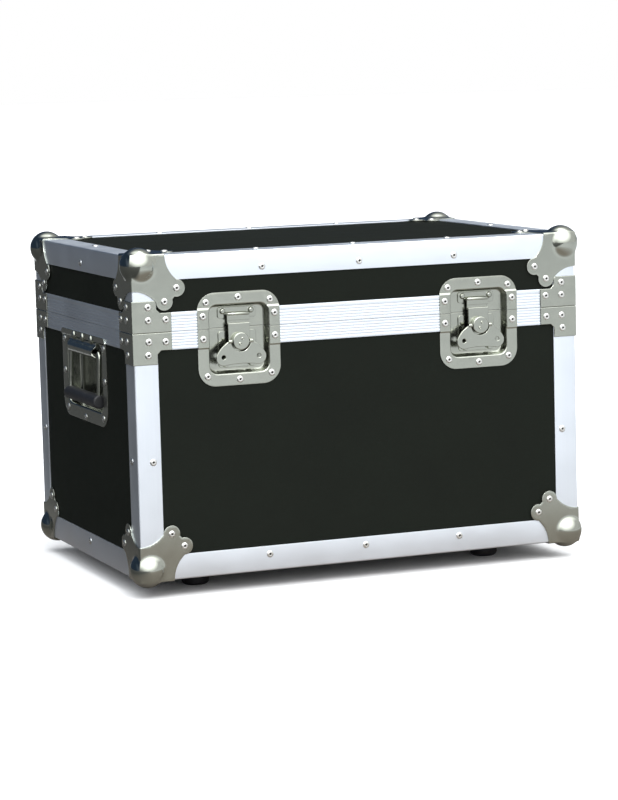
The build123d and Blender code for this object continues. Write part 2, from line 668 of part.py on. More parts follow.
grip_pan_z = (grip_pan_low + grip_pan_high) / 2
grip_pan_h = grip_pan_high - grip_pan_low
with BuildPart() as left_handle_dish:
    with BuildSketch(Plane.XZ.offset(-handle_w / 2)):
        with BuildLine():
            Polyline(*side_profile(handle_sheet(deep_reach)), close=True)
        make_face()
    extrude(amount=handle_w)
    with BuildSketch(face("left", -clear_out)):
        with Locations((0, grip_pan_z)):
            RectangleRounded(grip_pan_w + 2 * plate_t, grip_pan_h + 2 * plate_t, grip_pan_corner + plate_t)
    extrude(amount=-(clear_out + grip_pan_depth + plate_t), mode=Mode.INTERSECT)
    add(left_handle_flange.part)
    with BuildSketch(face("left", -clear_out)):
        with Locations((0, grip_pan_z)):
            RectangleRounded(grip_pan_w, grip_pan_h, grip_pan_corner)
    extrude(amount=-(clear_out + grip_pan_depth), mode=Mode.SUBTRACT)

# Rolled cover over the swing rod: a half tube whose upper lip lies on the dish's flange.
roll_x = swing_depth - half_w
flange_front_x = skin_t - plate_t - half_w
with BuildPart() as left_handle_cover:
    with BuildSketch(Plane.XZ.offset(-roll_half_l)):
        with Locations((roll_x, swing_z)):
            Circle(roll_r)
            Circle(roll_r - roll_t, mode=Mode.SUBTRACT)
        with Locations((roll_x + roll_r, swing_z)):
            Rectangle(2 * roll_r, 3 * roll_r, mode=Mode.SUBTRACT)
        with Locations((flange_front_x - roll_t / 2, swing_z + roll_lip_mid)):
            Rectangle(roll_t, roll_lip_h)
    extrude(amount=2 * roll_half_l)
    with BuildSketch(Plane.XZ.offset(-roll_half_l)):
        with Locations((flange_front_x + roll_r, swing_z + roll_r)):
            Rectangle(2 * roll_r, 1.5 * roll_r)
    extrude(amount=2 * roll_half_l, mode=Mode.SUBTRACT)

lean = radians(bail_lean)
bail_plane = Plane(origin=(roll_x, 0, swing_z), x_dir=(0, -1, 0), z_dir=(-cos(lean), 0, sin(lean)))
with BuildPart() as left_handle_bail:
    with BuildLine(bail_plane) as bail_path:
        Polyline((-bail_half_w, 0), (bail_half_w, 0), (bail_half_w, -bail_drop),
                 (-bail_half_w, -bail_drop), close=True)
        fillet(bail_path.vertices(), radius=bail_bend)
    bail_wire = bail_path.wire()
    with BuildSketch(Plane(origin=bail_wire @ 0, z_dir=bail_wire % 0)):
        Circle(bail_rod_r)
    sweep(path=bail_wire)

grip_origin = bail_plane.from_local_coords((0, -bail_drop, 0))
grip_plane = Plane(origin=grip_origin, x_dir=(1, 0, 0), z_dir=(0, -1, 0))
with BuildPart() as left_handle_grip:
    with BuildSketch(grip_plane.offset(-grip_half_l)):
        Circle(grip_r)
    extrude(amount=2 * grip_half_l)
    fillet(left_handle_grip.edges().filter_by(GeomType.CIRCLE), grip_round)
    add(left_handle_bail.part, mode=Mode.SUBTRACT)

with BuildPart() as left_handle_spring:
    for i in range(coil_count):
        along = coil_pitch * (i - (coil_count - 1) / 2)
        with Locations(Location((roll_x, along, swing_z), (90, 0, 0))):
            Torus(coil_r, coil_wire)

for piece, name in ((left_handle_dish, "dish"), (left_handle_cover, "cover"), (left_handle_bail, "bail"),
                    (left_handle_grip, "grip"), (left_handle_spring, "spring")):
    save(piece, f"left_handle_{name}")
    with BuildPart() as right_piece:
        mirror(piece.part, about=Plane.YZ)
    save(right_piece, f"right_handle_{name}")


# ================================================================ hinges
def hinge_leaf(x, direction):
    """Leaf of a hinge on the back rim: direction 1 is the lid's leaf with the middle knuckle."""
    pivot_y = half_d + pivot_out
    spans = [(-knuckle_split, knuckle_split)] if direction > 0 else [
        (-hinge_w / 2, -knuckle_split - fit_gap), (knuckle_split + fit_gap, hinge_w / 2)]
    bore = pin_r + fit_gap if direction > 0 else pin_r + snug_gap
    with BuildPart() as leaf:
        with BuildSketch(face("back")):
            with Locations((-x, z_seam + direction * (leaf_start + hinge_h) / 2)):
                Rectangle(hinge_w, hinge_h - leaf_start)
        extrude(amount=plate_t)
        for start, end in spans:
            with BuildSketch(Plane.YZ.offset(x + start)):
                with Locations((half_d + pivot_out / 2, z_seam + direction * knuckle_web_z)):
                    Rectangle(pivot_out, knuckle_web_h)
                with Locations((pivot_y, z_seam)):
                    Circle(knuckle_r)
                    Circle(bore, mode=Mode.SUBTRACT)
            extrude(amount=end - start)
    return leaf


def hinge_pin(x):
    """Pin of one hinge, held by the base's two knuckles."""
    with BuildPart() as pin:
        with BuildSketch(Plane.YZ.offset(x - hinge_w / 2)):
            with Locations((half_d + pivot_out, z_seam)):
                Circle(pin_r)
        extrude(amount=hinge_w)
    return pin


for name, x in (("left", -hinge_x), ("right", hinge_x)):
    save(hinge_leaf(x, -1), f"{name}_hinge_base_leaf")
    save(hinge_leaf(x, 1), f"{name}_hinge_lid_leaf")
    save(hinge_pin(x), f"{name}_hinge_pin")


# ================================================================ feet
with BuildPart() as feet:
    with BuildSketch(Plane.XZ) as foot_profile:
        with BuildLine():
            Polyline((screw_r + snug_gap, foot_h), (foot_top_r, foot_h), (foot_low_r, 0), (foot_well_r, 0),
                     (foot_well_r, foot_well_h), (screw_r + snug_gap, foot_well_h), close=True)
        make_face()
        fillet(foot_profile.vertices().sort_by_distance((foot_low_r, 0, 0))[0], foot_edge_r)
    revolve(axis=Axis.Z)
with BuildPart() as all_feet:
    with GridLocations(2 * foot_x, 2 * foot_y, 2, 2):
        add(feet.part)
save(all_feet, "feet")

with BuildPart() as foot_screws:
    with GridLocations(2 * foot_x, 2 * foot_y, 2, 2):
        with Locations((0, 0, foot_well_h - screw_head_h / 2)):
            Cylinder(screw_head_r, screw_head_h)
        with Locations((0, 0, (foot_well_h + foot_h + skin_t + screw_bite) / 2)):
            Cylinder(screw_r, foot_h + skin_t + screw_bite - foot_well_h)
save(foot_screws, "foot_screws")


# ================================================================ rivets
def rivet_heads(spots):
    """Pop-rivet heads with the mandrel's hollow; spots holds (plane, list of points)."""
    with BuildPart() as heads:
        for plane, points in spots:
            with BuildSketch(plane):
                with Locations(*points):
                    Circle(rivet_r)
            extrude(amount=rivet_h, taper=rivet_taper)
            with BuildSketch(plane.offset(rivet_h)):
                with Locations(*points):
                    Circle(mandrel_r)
            extrude(amount=-mandrel_h, mode=Mode.SUBTRACT)
    return heads


def corner_rivets(at_top):
    """Two rivets in the lobes of each ball corner, on the three faces it covers."""
    level, inwards = (z_top, -1) if at_top else (z_bottom, 1)
    flat = "top" if at_top else "bottom"
    pair = ((lobe_far, lobe_near), (lobe_near, lobe_far))
    spots = []
    for side, half in (("front", half_w), ("back", half_w), ("left", half_d), ("right", half_d)):
        points = [(sign * (half - a), level + inwards * b) for sign in (-1, 1) for a, b in pair]
        spots.append((face(side, -brace_t), points))
    points = [(sx * (half_w - a), sy * (half_d - b)) for sx in (-1, 1) for sy in (-1, 1) for a, b in pair]
    spots.append((face(flat, -brace_t), points))
    return spots


def brace_rivets(direction):
    """Three rivets on each face of each corner brace."""
    spots = []
    places = lid_brace_rivets if direction > 0 else base_brace_rivets
    for side, half in (("front", half_w), ("back", half_w), ("left", half_d), ("right", half_d)):
        points = [(sign * (half - a), z_seam + direction * b) for sign in (-1, 1) for a, b in places]
        spots.append((face(side, -brace_t), points))
    return spots


def edging_rivets(at_top):
    """Rivets along the horizontal edging, on its upright leg and on its flat leg."""
    level, inwards = (z_top, -1) if at_top else (z_bottom, 1)
    flat = "top" if at_top else "bottom"
    along = [-edge_rivet_pitch, 0.0, edge_rivet_pitch]
    spots = []
    for side in ("front", "back"):
        spots.append((face(side), [(a, level + inwards * edge_rivet_in) for a in along]))
    for side in ("left", "right"):
        spots.append((face(side), [(0.0, level + inwards * edge_rivet_in)]))
    flat_points = [(a, s * (half_d - edge_rivet_in)) for a in along for s in (-1, 1)]
    flat_points += [(s * (half_w - edge_rivet_in), 0.0) for s in (-1, 1)]
    spots.append((face(flat), flat_points))
    return spots


def upright_rivets():
    """One rivet half-way up each face of the base's upright edging."""
    z = z_bottom + upright_rivet_h
    return [(face(side), [(s * (half - edge_rivet_in), z) for s in (-1, 1)])
            for side, half in (("front", half_w), ("back", half_w), ("left", half_d), ("right", half_d))]


latch_flat = skin_t - plate_t
latch_xs = (-latch_x, latch_x)
lid_latch_rivets = [
    (face("front", latch_flat), [(x + a, latch_z + b) for x in latch_xs
                                 for a, b in latch_top_rivets]),
    (face("front", -plate_t), [(x + a, latch_z + lid_latch_side_z) for x in latch_xs
                               for a in (-latch_side_x, latch_side_x)])]
base_latch_rivets = [
    (face("front", latch_flat), [(x + a, latch_z + b) for x in latch_xs
                                 for a, b in latch_low_rivets]),
    (face("front", -plate_t), [(x + a, latch_z + base_latch_side_z) for x in latch_xs
                               for a in (-latch_side_x, latch_side_x)])]
handle_rivet_points = [(0.0, z_bottom + handle_middle_rivet)] + [
    (sign * a, z_bottom + b) for sign in (-1, 1) for a, b in handle_side_rivets]
handle_rivets = [(face(side, latch_flat), handle_rivet_points) for side in ("left", "right")]


def hinge_rivet_spots(direction):
    """Three rivets through each hinge leaf."""
    points = [(x + a, z_seam + direction * hinge_rivet_z) for x in (-hinge_x, hinge_x) for a in hinge_rivets]
    return [(face("back", -plate_t), points)]


base_rivets = rivet_heads(corner_rivets(False) + brace_rivets(-1) + edging_rivets(False) + upright_rivets()
                          + base_latch_rivets + handle_rivets + hinge_rivet_spots(-1))
save(base_rivets, "base_rivets")
lid_rivets = rivet_heads(corner_rivets(True) + brace_rivets(1) + edging_rivets(True)
                         + lid_latch_rivets + hinge_rivet_spots(1))
save(lid_rivets, "lid_rivets")
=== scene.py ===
"""Hard equipment case: finished surfaces, materials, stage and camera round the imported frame.

Lengths in the code are millimetres, and points become metres when a mesh is made.
"Depth" is measured inwards from the outer face of the aluminium edging.
"""
import json

import bmesh
import bpy
import numpy as np
from mathutils import Matrix, Vector
from mathutils.geometry import delaunay_2d_cdt

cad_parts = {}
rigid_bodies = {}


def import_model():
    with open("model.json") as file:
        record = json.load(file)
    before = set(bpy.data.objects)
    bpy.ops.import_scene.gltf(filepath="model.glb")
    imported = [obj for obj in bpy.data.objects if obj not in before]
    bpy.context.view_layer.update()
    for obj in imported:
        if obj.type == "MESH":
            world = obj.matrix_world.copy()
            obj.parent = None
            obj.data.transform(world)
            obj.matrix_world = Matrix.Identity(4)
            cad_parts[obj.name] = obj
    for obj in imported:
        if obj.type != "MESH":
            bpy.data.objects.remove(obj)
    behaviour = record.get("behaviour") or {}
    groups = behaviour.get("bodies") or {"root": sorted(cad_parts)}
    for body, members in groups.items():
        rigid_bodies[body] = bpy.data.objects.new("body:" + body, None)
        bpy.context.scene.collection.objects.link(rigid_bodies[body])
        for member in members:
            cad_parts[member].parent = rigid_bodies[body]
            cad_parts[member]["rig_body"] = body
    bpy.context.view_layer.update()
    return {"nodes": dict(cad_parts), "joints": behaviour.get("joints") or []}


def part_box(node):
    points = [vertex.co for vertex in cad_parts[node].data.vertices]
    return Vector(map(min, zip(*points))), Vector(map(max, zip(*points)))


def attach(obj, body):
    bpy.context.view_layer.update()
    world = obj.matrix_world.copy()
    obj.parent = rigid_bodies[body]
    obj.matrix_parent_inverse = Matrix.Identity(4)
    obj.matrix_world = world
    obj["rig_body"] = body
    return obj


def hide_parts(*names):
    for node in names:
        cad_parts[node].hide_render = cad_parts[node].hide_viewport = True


bl_info = {
    "name": "Hard Equipment Case",
    "version": (1, 0, 0),
    "blender": (4, 5, 0),
    "location": "View3D > Sidebar > Case",
    "description": "Builds the finished surfaces and materials of a hard equipment case",
    "category": "Object",
}

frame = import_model()
MM = 0.001
SIDES = {"left": -1, "right": 1}
CORNERS = ((-1, -1), (1, -1), (1, 1), (-1, 1))


def linear(code):
    """Linear RGBA of an sRGB hex colour: each channel is undone by the sRGB curve."""
    channel = np.array([int(code[i:i + 2], 16) for i in (1, 3, 5)]) / 255
    value = np.where(channel <= 0.04045, channel / 12.92, ((channel + 0.055) / 1.055) ** 2.4)
    return (*value.tolist(), 1.0)


def box_mm(node):
    """Lowest and highest corner of a CAD node at rest, in millimetres."""
    return tuple(np.array(corner) * 1000 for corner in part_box(node))


bottom_box, top_box = box_mm("base_bottom_edges"), box_mm("lid_top_edges")
HALF_W, HALF_D = bottom_box[1][0], bottom_box[1][1]
Z_BOTTOM, Z_TOP = bottom_box[0][2], top_box[1][2]
SEAM_GAP = 0.2
Z_SEAM = box_mm("lid_rim")[0][2] - SEAM_GAP
RIM_LOW, RIM_HIGH = box_mm("base_rim")[0][2], box_mm("lid_rim")[1][2]
joints = {joint["name"]: joint for joint in frame["joints"]}


# ------------------------------------------------------------------ sizes and colours
def length(name, text, default, low):
    """A size in millimetres, with its lowest value."""
    return bpy.props.FloatProperty(name=name, description=f"{text}, mm", default=default, min=low)


def base_colour(name, text, code):
    """A base colour, given as sRGB hex."""
    return bpy.props.FloatVectorProperty(name=name, description=text, subtype="COLOR", size=4, min=0, max=1,
                                         default=linear(code))


class CaseSizes(bpy.types.PropertyGroup):
    """Sizes of the sheet metal and its edges."""
    skin: length("Edging wall", "Wall of the aluminium angle", 1.6, 0.8)
    edge_leg: length("Edging leg", "Leg of the aluminium angle", 30.0, 10.0)
    edge_round: length("Edging corner", "Rounding of the angle's outer corner", 2.2, 0.1)
    plate: length("Dish sheet", "Sheet of the dishes", 1.2, 0.5)
    brace: length("Corner sheet", "Sheet of the corners and braces", 1.3, 0.5)
    ball_radius: length("Ball radius", "Radius of a ball corner", 21.5, 5.0)
    ball_inset: length("Ball inset", "Ball centre below each face", 12.6, 1.0)
    ball_fillet: length("Ball fillet", "Width of the hollow between ball and plate", 3.4, 0.1)
    rivet_radius: length("Rivet radius", "Radius of a rivet head", 4.2, 1.0)
    rivet_height: length("Rivet height", "Height of a rivet head", 1.5, 0.2)


class CaseColours(bpy.types.PropertyGroup):
    """Base colours of the finishes."""
    laminate: base_colour("Laminate", "Laminated panels", "#10130f")
    aluminium: base_colour("Aluminium", "Anodised edging", "#e2e8ef")
    zinc: base_colour("Zinc plating", "Pressed steel fittings", "#adb0a6")
    rivet: base_colour("Rivet", "Rivet heads", "#e0e0dc")
    rubber: base_colour("Rubber", "Grips and feet", "#101114")
    floor: base_colour("Floor", "Studio floor", "#f6f6f6")


# ------------------------------------------------------------------ shapes
def smooth_max(a, b, soft):
    """The larger of a and b, plus a quarter of soft times the square of how nearly they cross."""
    near = np.maximum(soft - np.abs(a - b), 0.0) / soft
    return np.maximum(a, b) + near * near * soft / 4


def circle(angle):
    """Cosine and sine of angles in radians, as points on a circle of radius 1."""
    return np.stack([np.cos(angle), np.sin(angle)], axis=-1)


def full_turn(count):
    """Even angles round a whole turn."""
    return np.linspace(0, 2 * np.pi, count, endpoint=False)


def travelled(points):
    """Distance along a line of points, from its first."""
    return np.r_[0, np.cumsum(np.linalg.norm(np.diff(points, axis=0), axis=1))]


def nearest(points, others):
    """Distance from each point to the nearest of the others."""
    return np.linalg.norm(points[:, None] - others[None], axis=2).min(axis=1)


def rounded(corners, cut, steps=4):
    """Polygon whose corners become parabolas.

    A point is the corner plus cut times ((1 - s) squared of the way back and s squared of the way on).
    """
    corner = np.asarray(corners, float)
    cut = np.broadcast_to(np.asarray(cut, float), len(corner))[:, None, None]
    back, on = (np.roll(corner, shift, axis=0) - corner for shift in (1, -1))
    back, on = (way / np.linalg.norm(way, axis=1)[:, None] for way in (back, on))
    s = np.linspace(0, 1, steps)[None, :, None]
    return (corner[:, None] + cut * ((1 - s) ** 2 * back[:, None] + s ** 2 * on[:, None])).reshape(-1, 2)


def grid(rows, columns, close_rows=False, close_columns=False):
    """Quads of a grid of points; a closed way joins its last line to its first."""
    row, column = np.meshgrid(np.arange(rows if close_rows else rows - 1),
                              np.arange(columns if close_columns else columns - 1), indexing="ij")
    next_row, next_column = (row + 1) % rows, (column + 1) % columns
    return np.stack([row * columns + column, row * columns + next_column,
                     next_row * columns + next_column, next_row * columns + column], axis=-1).reshape(-1, 4)


def carry(profile, stations, closed):
    """A closed profile of (depth, height) carried past stations (x, y, way in x, way in y).

    A point is the station plus depth times its way inwards, at the profile's height.
    """
    profile, stations = np.asarray(profile, float), np.asarray(stations, float)
    depth = profile[None, :, 0]
    points = np.stack([stations[:, None, 0] + stations[:, None, 2] * depth,
                       stations[:, None, 1] + stations[:, None, 3] * depth,
                       np.broadcast_to(profile[None, :, 1], (len(stations), len(profile)))], axis=-1)
    count, around = len(stations), len(profile)
    faces = grid(count, around, closed, True).tolist()
    if not closed:
        faces += [list(range(around)), list(range((count - 1) * around, count * around))]
    marks = np.stack(np.broadcast_arrays(travelled(stations[:, :2])[:, None], travelled(profile)[None]),
                     axis=-1)
    return points.reshape(-1, 3), faces, marks.reshape(-1, 2)


def rounded_loop(half_w, low, high, low_round, high_round, step=1.3):
    """Closed loop round a rectangle with rounded corners: points (u, v) and their outward normals.

    Each corner is its centre plus its radius times (cosine, sine); the sides are cut into even steps.
    """
    points, normals = [], []
    places = [(half_w - low_round, low + low_round, low_round, -90), (half_w - high_round, high - high_round,
              high_round, 0), (high_round - half_w, high - high_round, high_round, 90),
              (low_round - half_w, low + low_round, low_round, 180)]
    for i, (u, v, radius, start) in enumerate(places):
        angle = np.radians(start + np.linspace(0, 90, max(6, int(radius * 1.6 / step))))
        normal = circle(angle)
        points.append(np.array([u, v]) + radius * normal)
        normals.append(normal)
        u2, v2, radius2, start2 = places[(i + 1) % 4]
        end = np.array([u2, v2]) + radius2 * circle(np.radians(start2))
        steps = int(np.linalg.norm(end - points[-1][-1]) / step)
        share = np.linspace(0, 1, steps + 1)[1:-1, None]
        points.append(points[-1][-1] + share * (end - points[-1][-1]))
        normals.append(np.broadcast_to(normal[-1], (len(share), 2)))
    return np.concatenate(points), np.concatenate(normals)


def with_levels(points, normals, levels):
    """The same loop with a point added wherever it crosses one of the heights in levels."""
    for level in levels:
        after = np.roll(points, -1, axis=0)
        above, above_next = points[:, 1] - level, after[:, 1] - level
        at = np.nonzero((above * above_next < 0) & (np.minimum(abs(above), abs(above_next)) > 0.02))[0]
        share = (above / (above - above_next + 1e-12))[at, None]
        new_points = points[at] + share * (after[at] - points[at])
        new_normals = normals[at] + share * (np.roll(normals, -1, axis=0)[at] - normals[at])
        points = np.insert(points, at + 1, new_points, axis=0)
        normals = np.insert(normals, at + 1, new_normals, axis=0)
    return points, normals


def fill(outline, inner):
    """Delaunay triangles of the flat region inside an outline, with extra points inside it."""
    spots = [tuple(p) for p in np.concatenate([outline, inner])]
    ring = list(range(len(outline)))
    found = delaunay_2d_cdt(spots, [], [ring], 1, 1e-4)
    return np.array([tuple(p) for p in found[0]]), np.array([list(f) for f in found[2] if len(f) == 3])


def clear_grid(low, high, step, keep_off, gap):
    """Even grid of points between two corners, without those nearer than gap to a point of keep_off."""
    u, v = np.meshgrid(np.arange(low[0], high[0], step), np.arange(low[1], high[1], step))
    points = np.stack([u.ravel(), v.ravel()], axis=1)
    return points[nearest(points, keep_off) > gap]


# ------------------------------------------------------------------ pieces
def bevel_edges(piece, width, clamp, segments=3, angle=40):
    """Round a piece's sharp edges over a width in millimetres; clamp keeps it inside the shortest edge."""
    modifier = piece.modifiers.new("rounded edges", "BEVEL")
    modifier.width, modifier.segments, modifier.limit_method = width * MM, segments, "ANGLE"
    modifier.angle_limit = np.radians(angle)
    modifier.use_clamp_overlap = clamp
    modifier.miter_outer = "MITER_ARC"


def make_piece(name, shells, material, body, nodes, bevel=0.0, wall=0.0, facing=None, cuts=(), flat=0.0,
               crease=38):
    """One finished mesh from shells of (points in mm, faces, optional marks for its UV map).

    Doubles are merged, normals turned outwards, the sheet gets its wall and its edges their rounding.
    facing is the way an open sheet looks; cuts are (height, keep above) planes that trim it.
    """
    points, faces, marks, start = [], [], [], 0
    for shell in shells:
        points.append(shell[0])
        faces += (np.asarray(f) + start for f in shell[1])
        marks.append(shell[2] if len(shell) > 2 else np.zeros((len(shell[0]), 2)))
        start += len(shell[0])
    points, marks = np.concatenate(points), np.concatenate(marks)
    mesh = bpy.data.meshes.new(name)
    mesh.from_pydata((points * MM).tolist(), [], [f.tolist() for f in faces])
    corner = np.empty(len(mesh.loops), np.int32)
    mesh.loops.foreach_get("vertex_index", corner)
    mesh.uv_layers.new(name="run").data.foreach_set("uv", (marks[corner] * MM).ravel().astype(np.float32))
    shape = bmesh.new()
    shape.from_mesh(mesh)
    bmesh.ops.remove_doubles(shape, verts=shape.verts, dist=0.004 * MM)
    bmesh.ops.dissolve_degenerate(shape, edges=shape.edges, dist=0.004 * MM)
    if flat:
        bmesh.ops.dissolve_limit(shape, angle_limit=np.radians(flat), verts=shape.verts, edges=shape.edges)
    for height, above in cuts:
        bmesh.ops.bisect_plane(shape, geom=shape.verts[:] + shape.edges[:] + shape.faces[:], dist=1e-7,
                               plane_co=(0, 0, height * MM), plane_no=(0, 0, 1),
                               clear_inner=above, clear_outer=not above)
    bmesh.ops.recalc_face_normals(shape, faces=shape.faces)
    if facing is not None:
        lean = sum((f.normal * f.calc_area() for f in shape.faces), shape.faces[:][0].normal * 0)
        if lean.dot(Vector(facing)) < 0:
            bmesh.ops.reverse_faces(shape, faces=shape.faces)
    shape.to_mesh(mesh)
    shape.free()
    piece = bpy.data.objects.new(name, mesh)
    bpy.context.scene.collection.objects.link(piece)
    if wall:
        sheet = piece.modifiers.new("sheet", "SOLIDIFY")
        sheet.thickness, sheet.offset, sheet.use_even_offset = wall * MM, -1.0, False
    if bevel:
        bevel_edges(piece, bevel, not flat)
    if flat:
        piece.data.polygons.foreach_set("use_smooth", np.ones(len(piece.data.polygons), bool))
        level = piece.modifiers.new("flat faces stay flat", "WEIGHTED_NORMAL")
        level.weight = 100
    if wall or bevel:
        settled = bpy.data.meshes.new_from_object(
            piece.evaluated_get(bpy.context.evaluated_depsgraph_get()))
        piece.modifiers.clear()
        piece.data = settled
        bpy.data.meshes.remove(mesh)
        settled.name = name
    piece.data.materials.clear()
    piece.data.materials.append(material)
    piece.data.polygons.foreach_set("use_smooth", np.ones(len(piece.data.polygons), bool))
    piece.data.set_sharp_from_angle(angle=np.radians(crease))
    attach(piece, body)
    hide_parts(*nodes)
    return piece


def node_triangles(node):
    """Points in mm and triangles of a CAD node, with the points that lie together merged."""
    mesh = frame["nodes"][node].data
    points = np.empty(len(mesh.vertices) * 3)
    mesh.vertices.foreach_get("co", points)
    mesh.calc_loop_triangles()
    triangles = np.empty(len(mesh.loop_triangles) * 3, np.int32)
    mesh.loop_triangles.foreach_get("vertices", triangles)
    merged, number = np.unique(np.round(points.reshape(-1, 3) * 1000, 3), axis=0, return_inverse=True)
    return merged, number.ravel()[triangles].reshape(-1, 3)


def body_of(node):
    """Name of the CAD body that holds a node."""
    return frame["nodes"][node]["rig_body"]


def refined(node, material, bevel, flat=0.4):
    """A CAD node's own shape with its flat faces joined and its edges rounded."""
    points, triangles = node_triangles(node)
    return make_piece(f"{node}_finished", [(points, triangles)], material, body_of(node), [node],
                      bevel=bevel, flat=flat)


def paint(node, material):
    """Give a CAD node that stays a material of its own."""
    data = frame["nodes"][node].data
    data.materials.clear()
    data.materials.append(material)


# ------------------------------------------------------------------ materials
def add(tree, kind, links=(), values=(), **settings):
    """Add a node: settings on the node, values on its inputs, links as (input, source node, its output)."""
    made = tree.nodes.new(kind)
    for key, value in settings.items():
        setattr(made, key, value)
    for key, value in dict(values).items():
        made.inputs[key].default_value = value
    for key, source, output in links:
        tree.links.new(source.outputs[output], made.inputs[key])
    return made


def start_material(name):
    """Tree of an empty material, with a node for places on the object."""
    material = bpy.data.materials.get(name)
    if material is None:
        material = bpy.data.materials.new(name)
    material.use_nodes = True
    material.node_tree.nodes.clear()
    return material.node_tree, add(material.node_tree, "ShaderNodeTexCoord")


def noise(tree, place, size, detail, roughness=0.5):
    """Noise whose features are size metres across."""
    return add(tree, "ShaderNodeTexNoise", [("Vector", place, "Object")],
               {"Scale": 1 / size, "Detail": detail, "Roughness": roughness})


def spread(tree, source, output, low, high, start=0.3, end=0.7):
    """A node's output from start to end, laid out from low to high."""
    return add(tree, "ShaderNodeMapRange", [("Value", source, output)],
               {"From Min": start, "From Max": end, "To Min": low, "To Max": high})


def blend(tree, factor, output, *inks):
    """Two inks mixed by a node's output; an ink is a colour or another blend."""
    mix = add(tree, "ShaderNodeMix", [("Factor", factor, output)], data_type="RGBA")
    for socket, ink in zip((mix.inputs[6], mix.inputs[7]), inks):
        if isinstance(ink, bpy.types.Node):
            tree.links.new(ink.outputs[2], socket)
        else:
            socket.default_value = ink
    return mix


def bump(tree, source, output, strength, distance, under=()):
    """Bump by a node's output, distance metres tall, over any bump in under."""
    return add(tree, "ShaderNodeBump", [("Height", source, output), *under],
               {"Strength": strength, "Distance": distance})


def shaded(colour, share):
    """A colour times a share."""
    return [c * share for c in colour[:3]] + [1]


def principled(tree, tint, values, rough=None, relief=None):
    """Principled shader with a blend for its colour, joined to the material's output."""
    links = [("Roughness", rough, "Result"), ("Normal", relief, "Normal")] if rough else []
    shader = add(tree, "ShaderNodeBsdfPrincipled", links, values)
    tree.links.new(tint.outputs[2], shader.inputs["Base Color"])
    add(tree, "ShaderNodeOutputMaterial", [("Surface", shader, "BSDF")])


def phenolic_laminate(colour):
    """Black laminate pressed on plywood: nearly black, a satin skin with a fine leather-like grain."""
    tree, place = start_material("phenolic_laminate_pressed")
    # The grain is 1.1 mm between bumps, so the scale is 1 / 0.0011; it is what breaks up the sheen.
    grain = add(tree, "ShaderNodeTexVoronoi", [("Vector", place, "Object")], {"Scale": 1 / 0.0011},
                feature="SMOOTH_F1")
    cloud = noise(tree, place, 0.09, 5.0, 0.6)
    tint = blend(tree, cloud, "Fac", shaded(colour, 0.82), shaded(colour, 1.25))
    principled(tree, tint, {"IOR": 1.5, "Specular IOR Level": 0.06}, spread(tree, cloud, "Fac", 0.66, 0.80),
               bump(tree, grain, "Distance", 0.35, 0.0002))


def anodised_aluminium(colour):
    """Extruded and satin anodised: cool and pale, with faint die lines along each length."""
    tree, place = start_material("aluminium_extruded_anodised")
    run = add(tree, "ShaderNodeUVMap", uv_map="run")
    # Die lines lie 0.5 mm apart across the extrusion and run for about half a metre along it.
    stretch = add(tree, "ShaderNodeMapping", [("Vector", run, "UV")], {"Scale": (2.0, 2000.0, 1.0)})
    lines = add(tree, "ShaderNodeTexNoise", [("Vector", stretch, "Vector")],
                {"Scale": 1.0, "Detail": 2.0, "Roughness": 0.5})
    smudge = noise(tree, place, 0.05, 4.0, 0.6)
    tint = blend(tree, lines, "Fac", shaded(colour, 0.93), list(colour))
    principled(tree, tint, {"Metallic": 1.0}, spread(tree, smudge, "Fac", 0.36, 0.46),
               bump(tree, lines, "Fac", 0.12, 0.00005))


def plated_steel(name, colour, low, high, waves):
    """Pressed steel, bright zinc plated: a warm grey mirror, clouded and slightly wavy from the press.

    low and high bound its roughness, and waves is how far the surface strays, in metres.
    """
    tree, place = start_material(name)
    # Plating clouds are about 12 mm across, press waves about 16 mm, and the crystals 0.8 mm.
    cloud = noise(tree, place, 0.012, 6.0, 0.65)
    crystal = noise(tree, place, 0.0008, 2.0)
    wave = noise(tree, place, 0.016, 1.0, 0.4)
    tint = blend(tree, cloud, "Fac", shaded(colour, 0.86), list(colour))
    press = bump(tree, wave, "Fac", 0.5, waves)
    fine = bump(tree, crystal, "Fac", 0.10, 0.00002, [("Normal", press, "Normal")])
    principled(tree, tint, {"Metallic": 1.0}, spread(tree, cloud, "Fac", low, high), fine)


def moulded_rubber(colour):
    """Black moulded rubber: soft sheen, faint bloom and a fine matt grain from the mould."""
    tree, place = start_material("rubber_moulded")
    # Mould grain is 0.5 mm; the pale bloom comes in patches of 15 mm.
    grain, bloom = noise(tree, place, 0.0005, 3.0), noise(tree, place, 0.015, 4.0)
    tint = blend(tree, bloom, "Fac", shaded(colour, 0.8), shaded(colour, 1.5))
    principled(tree, tint, {"IOR": 1.52}, spread(tree, bloom, "Fac", 0.42, 0.62, 0.0, 1.0),
               bump(tree, grain, "Fac", 0.3, 0.0001))


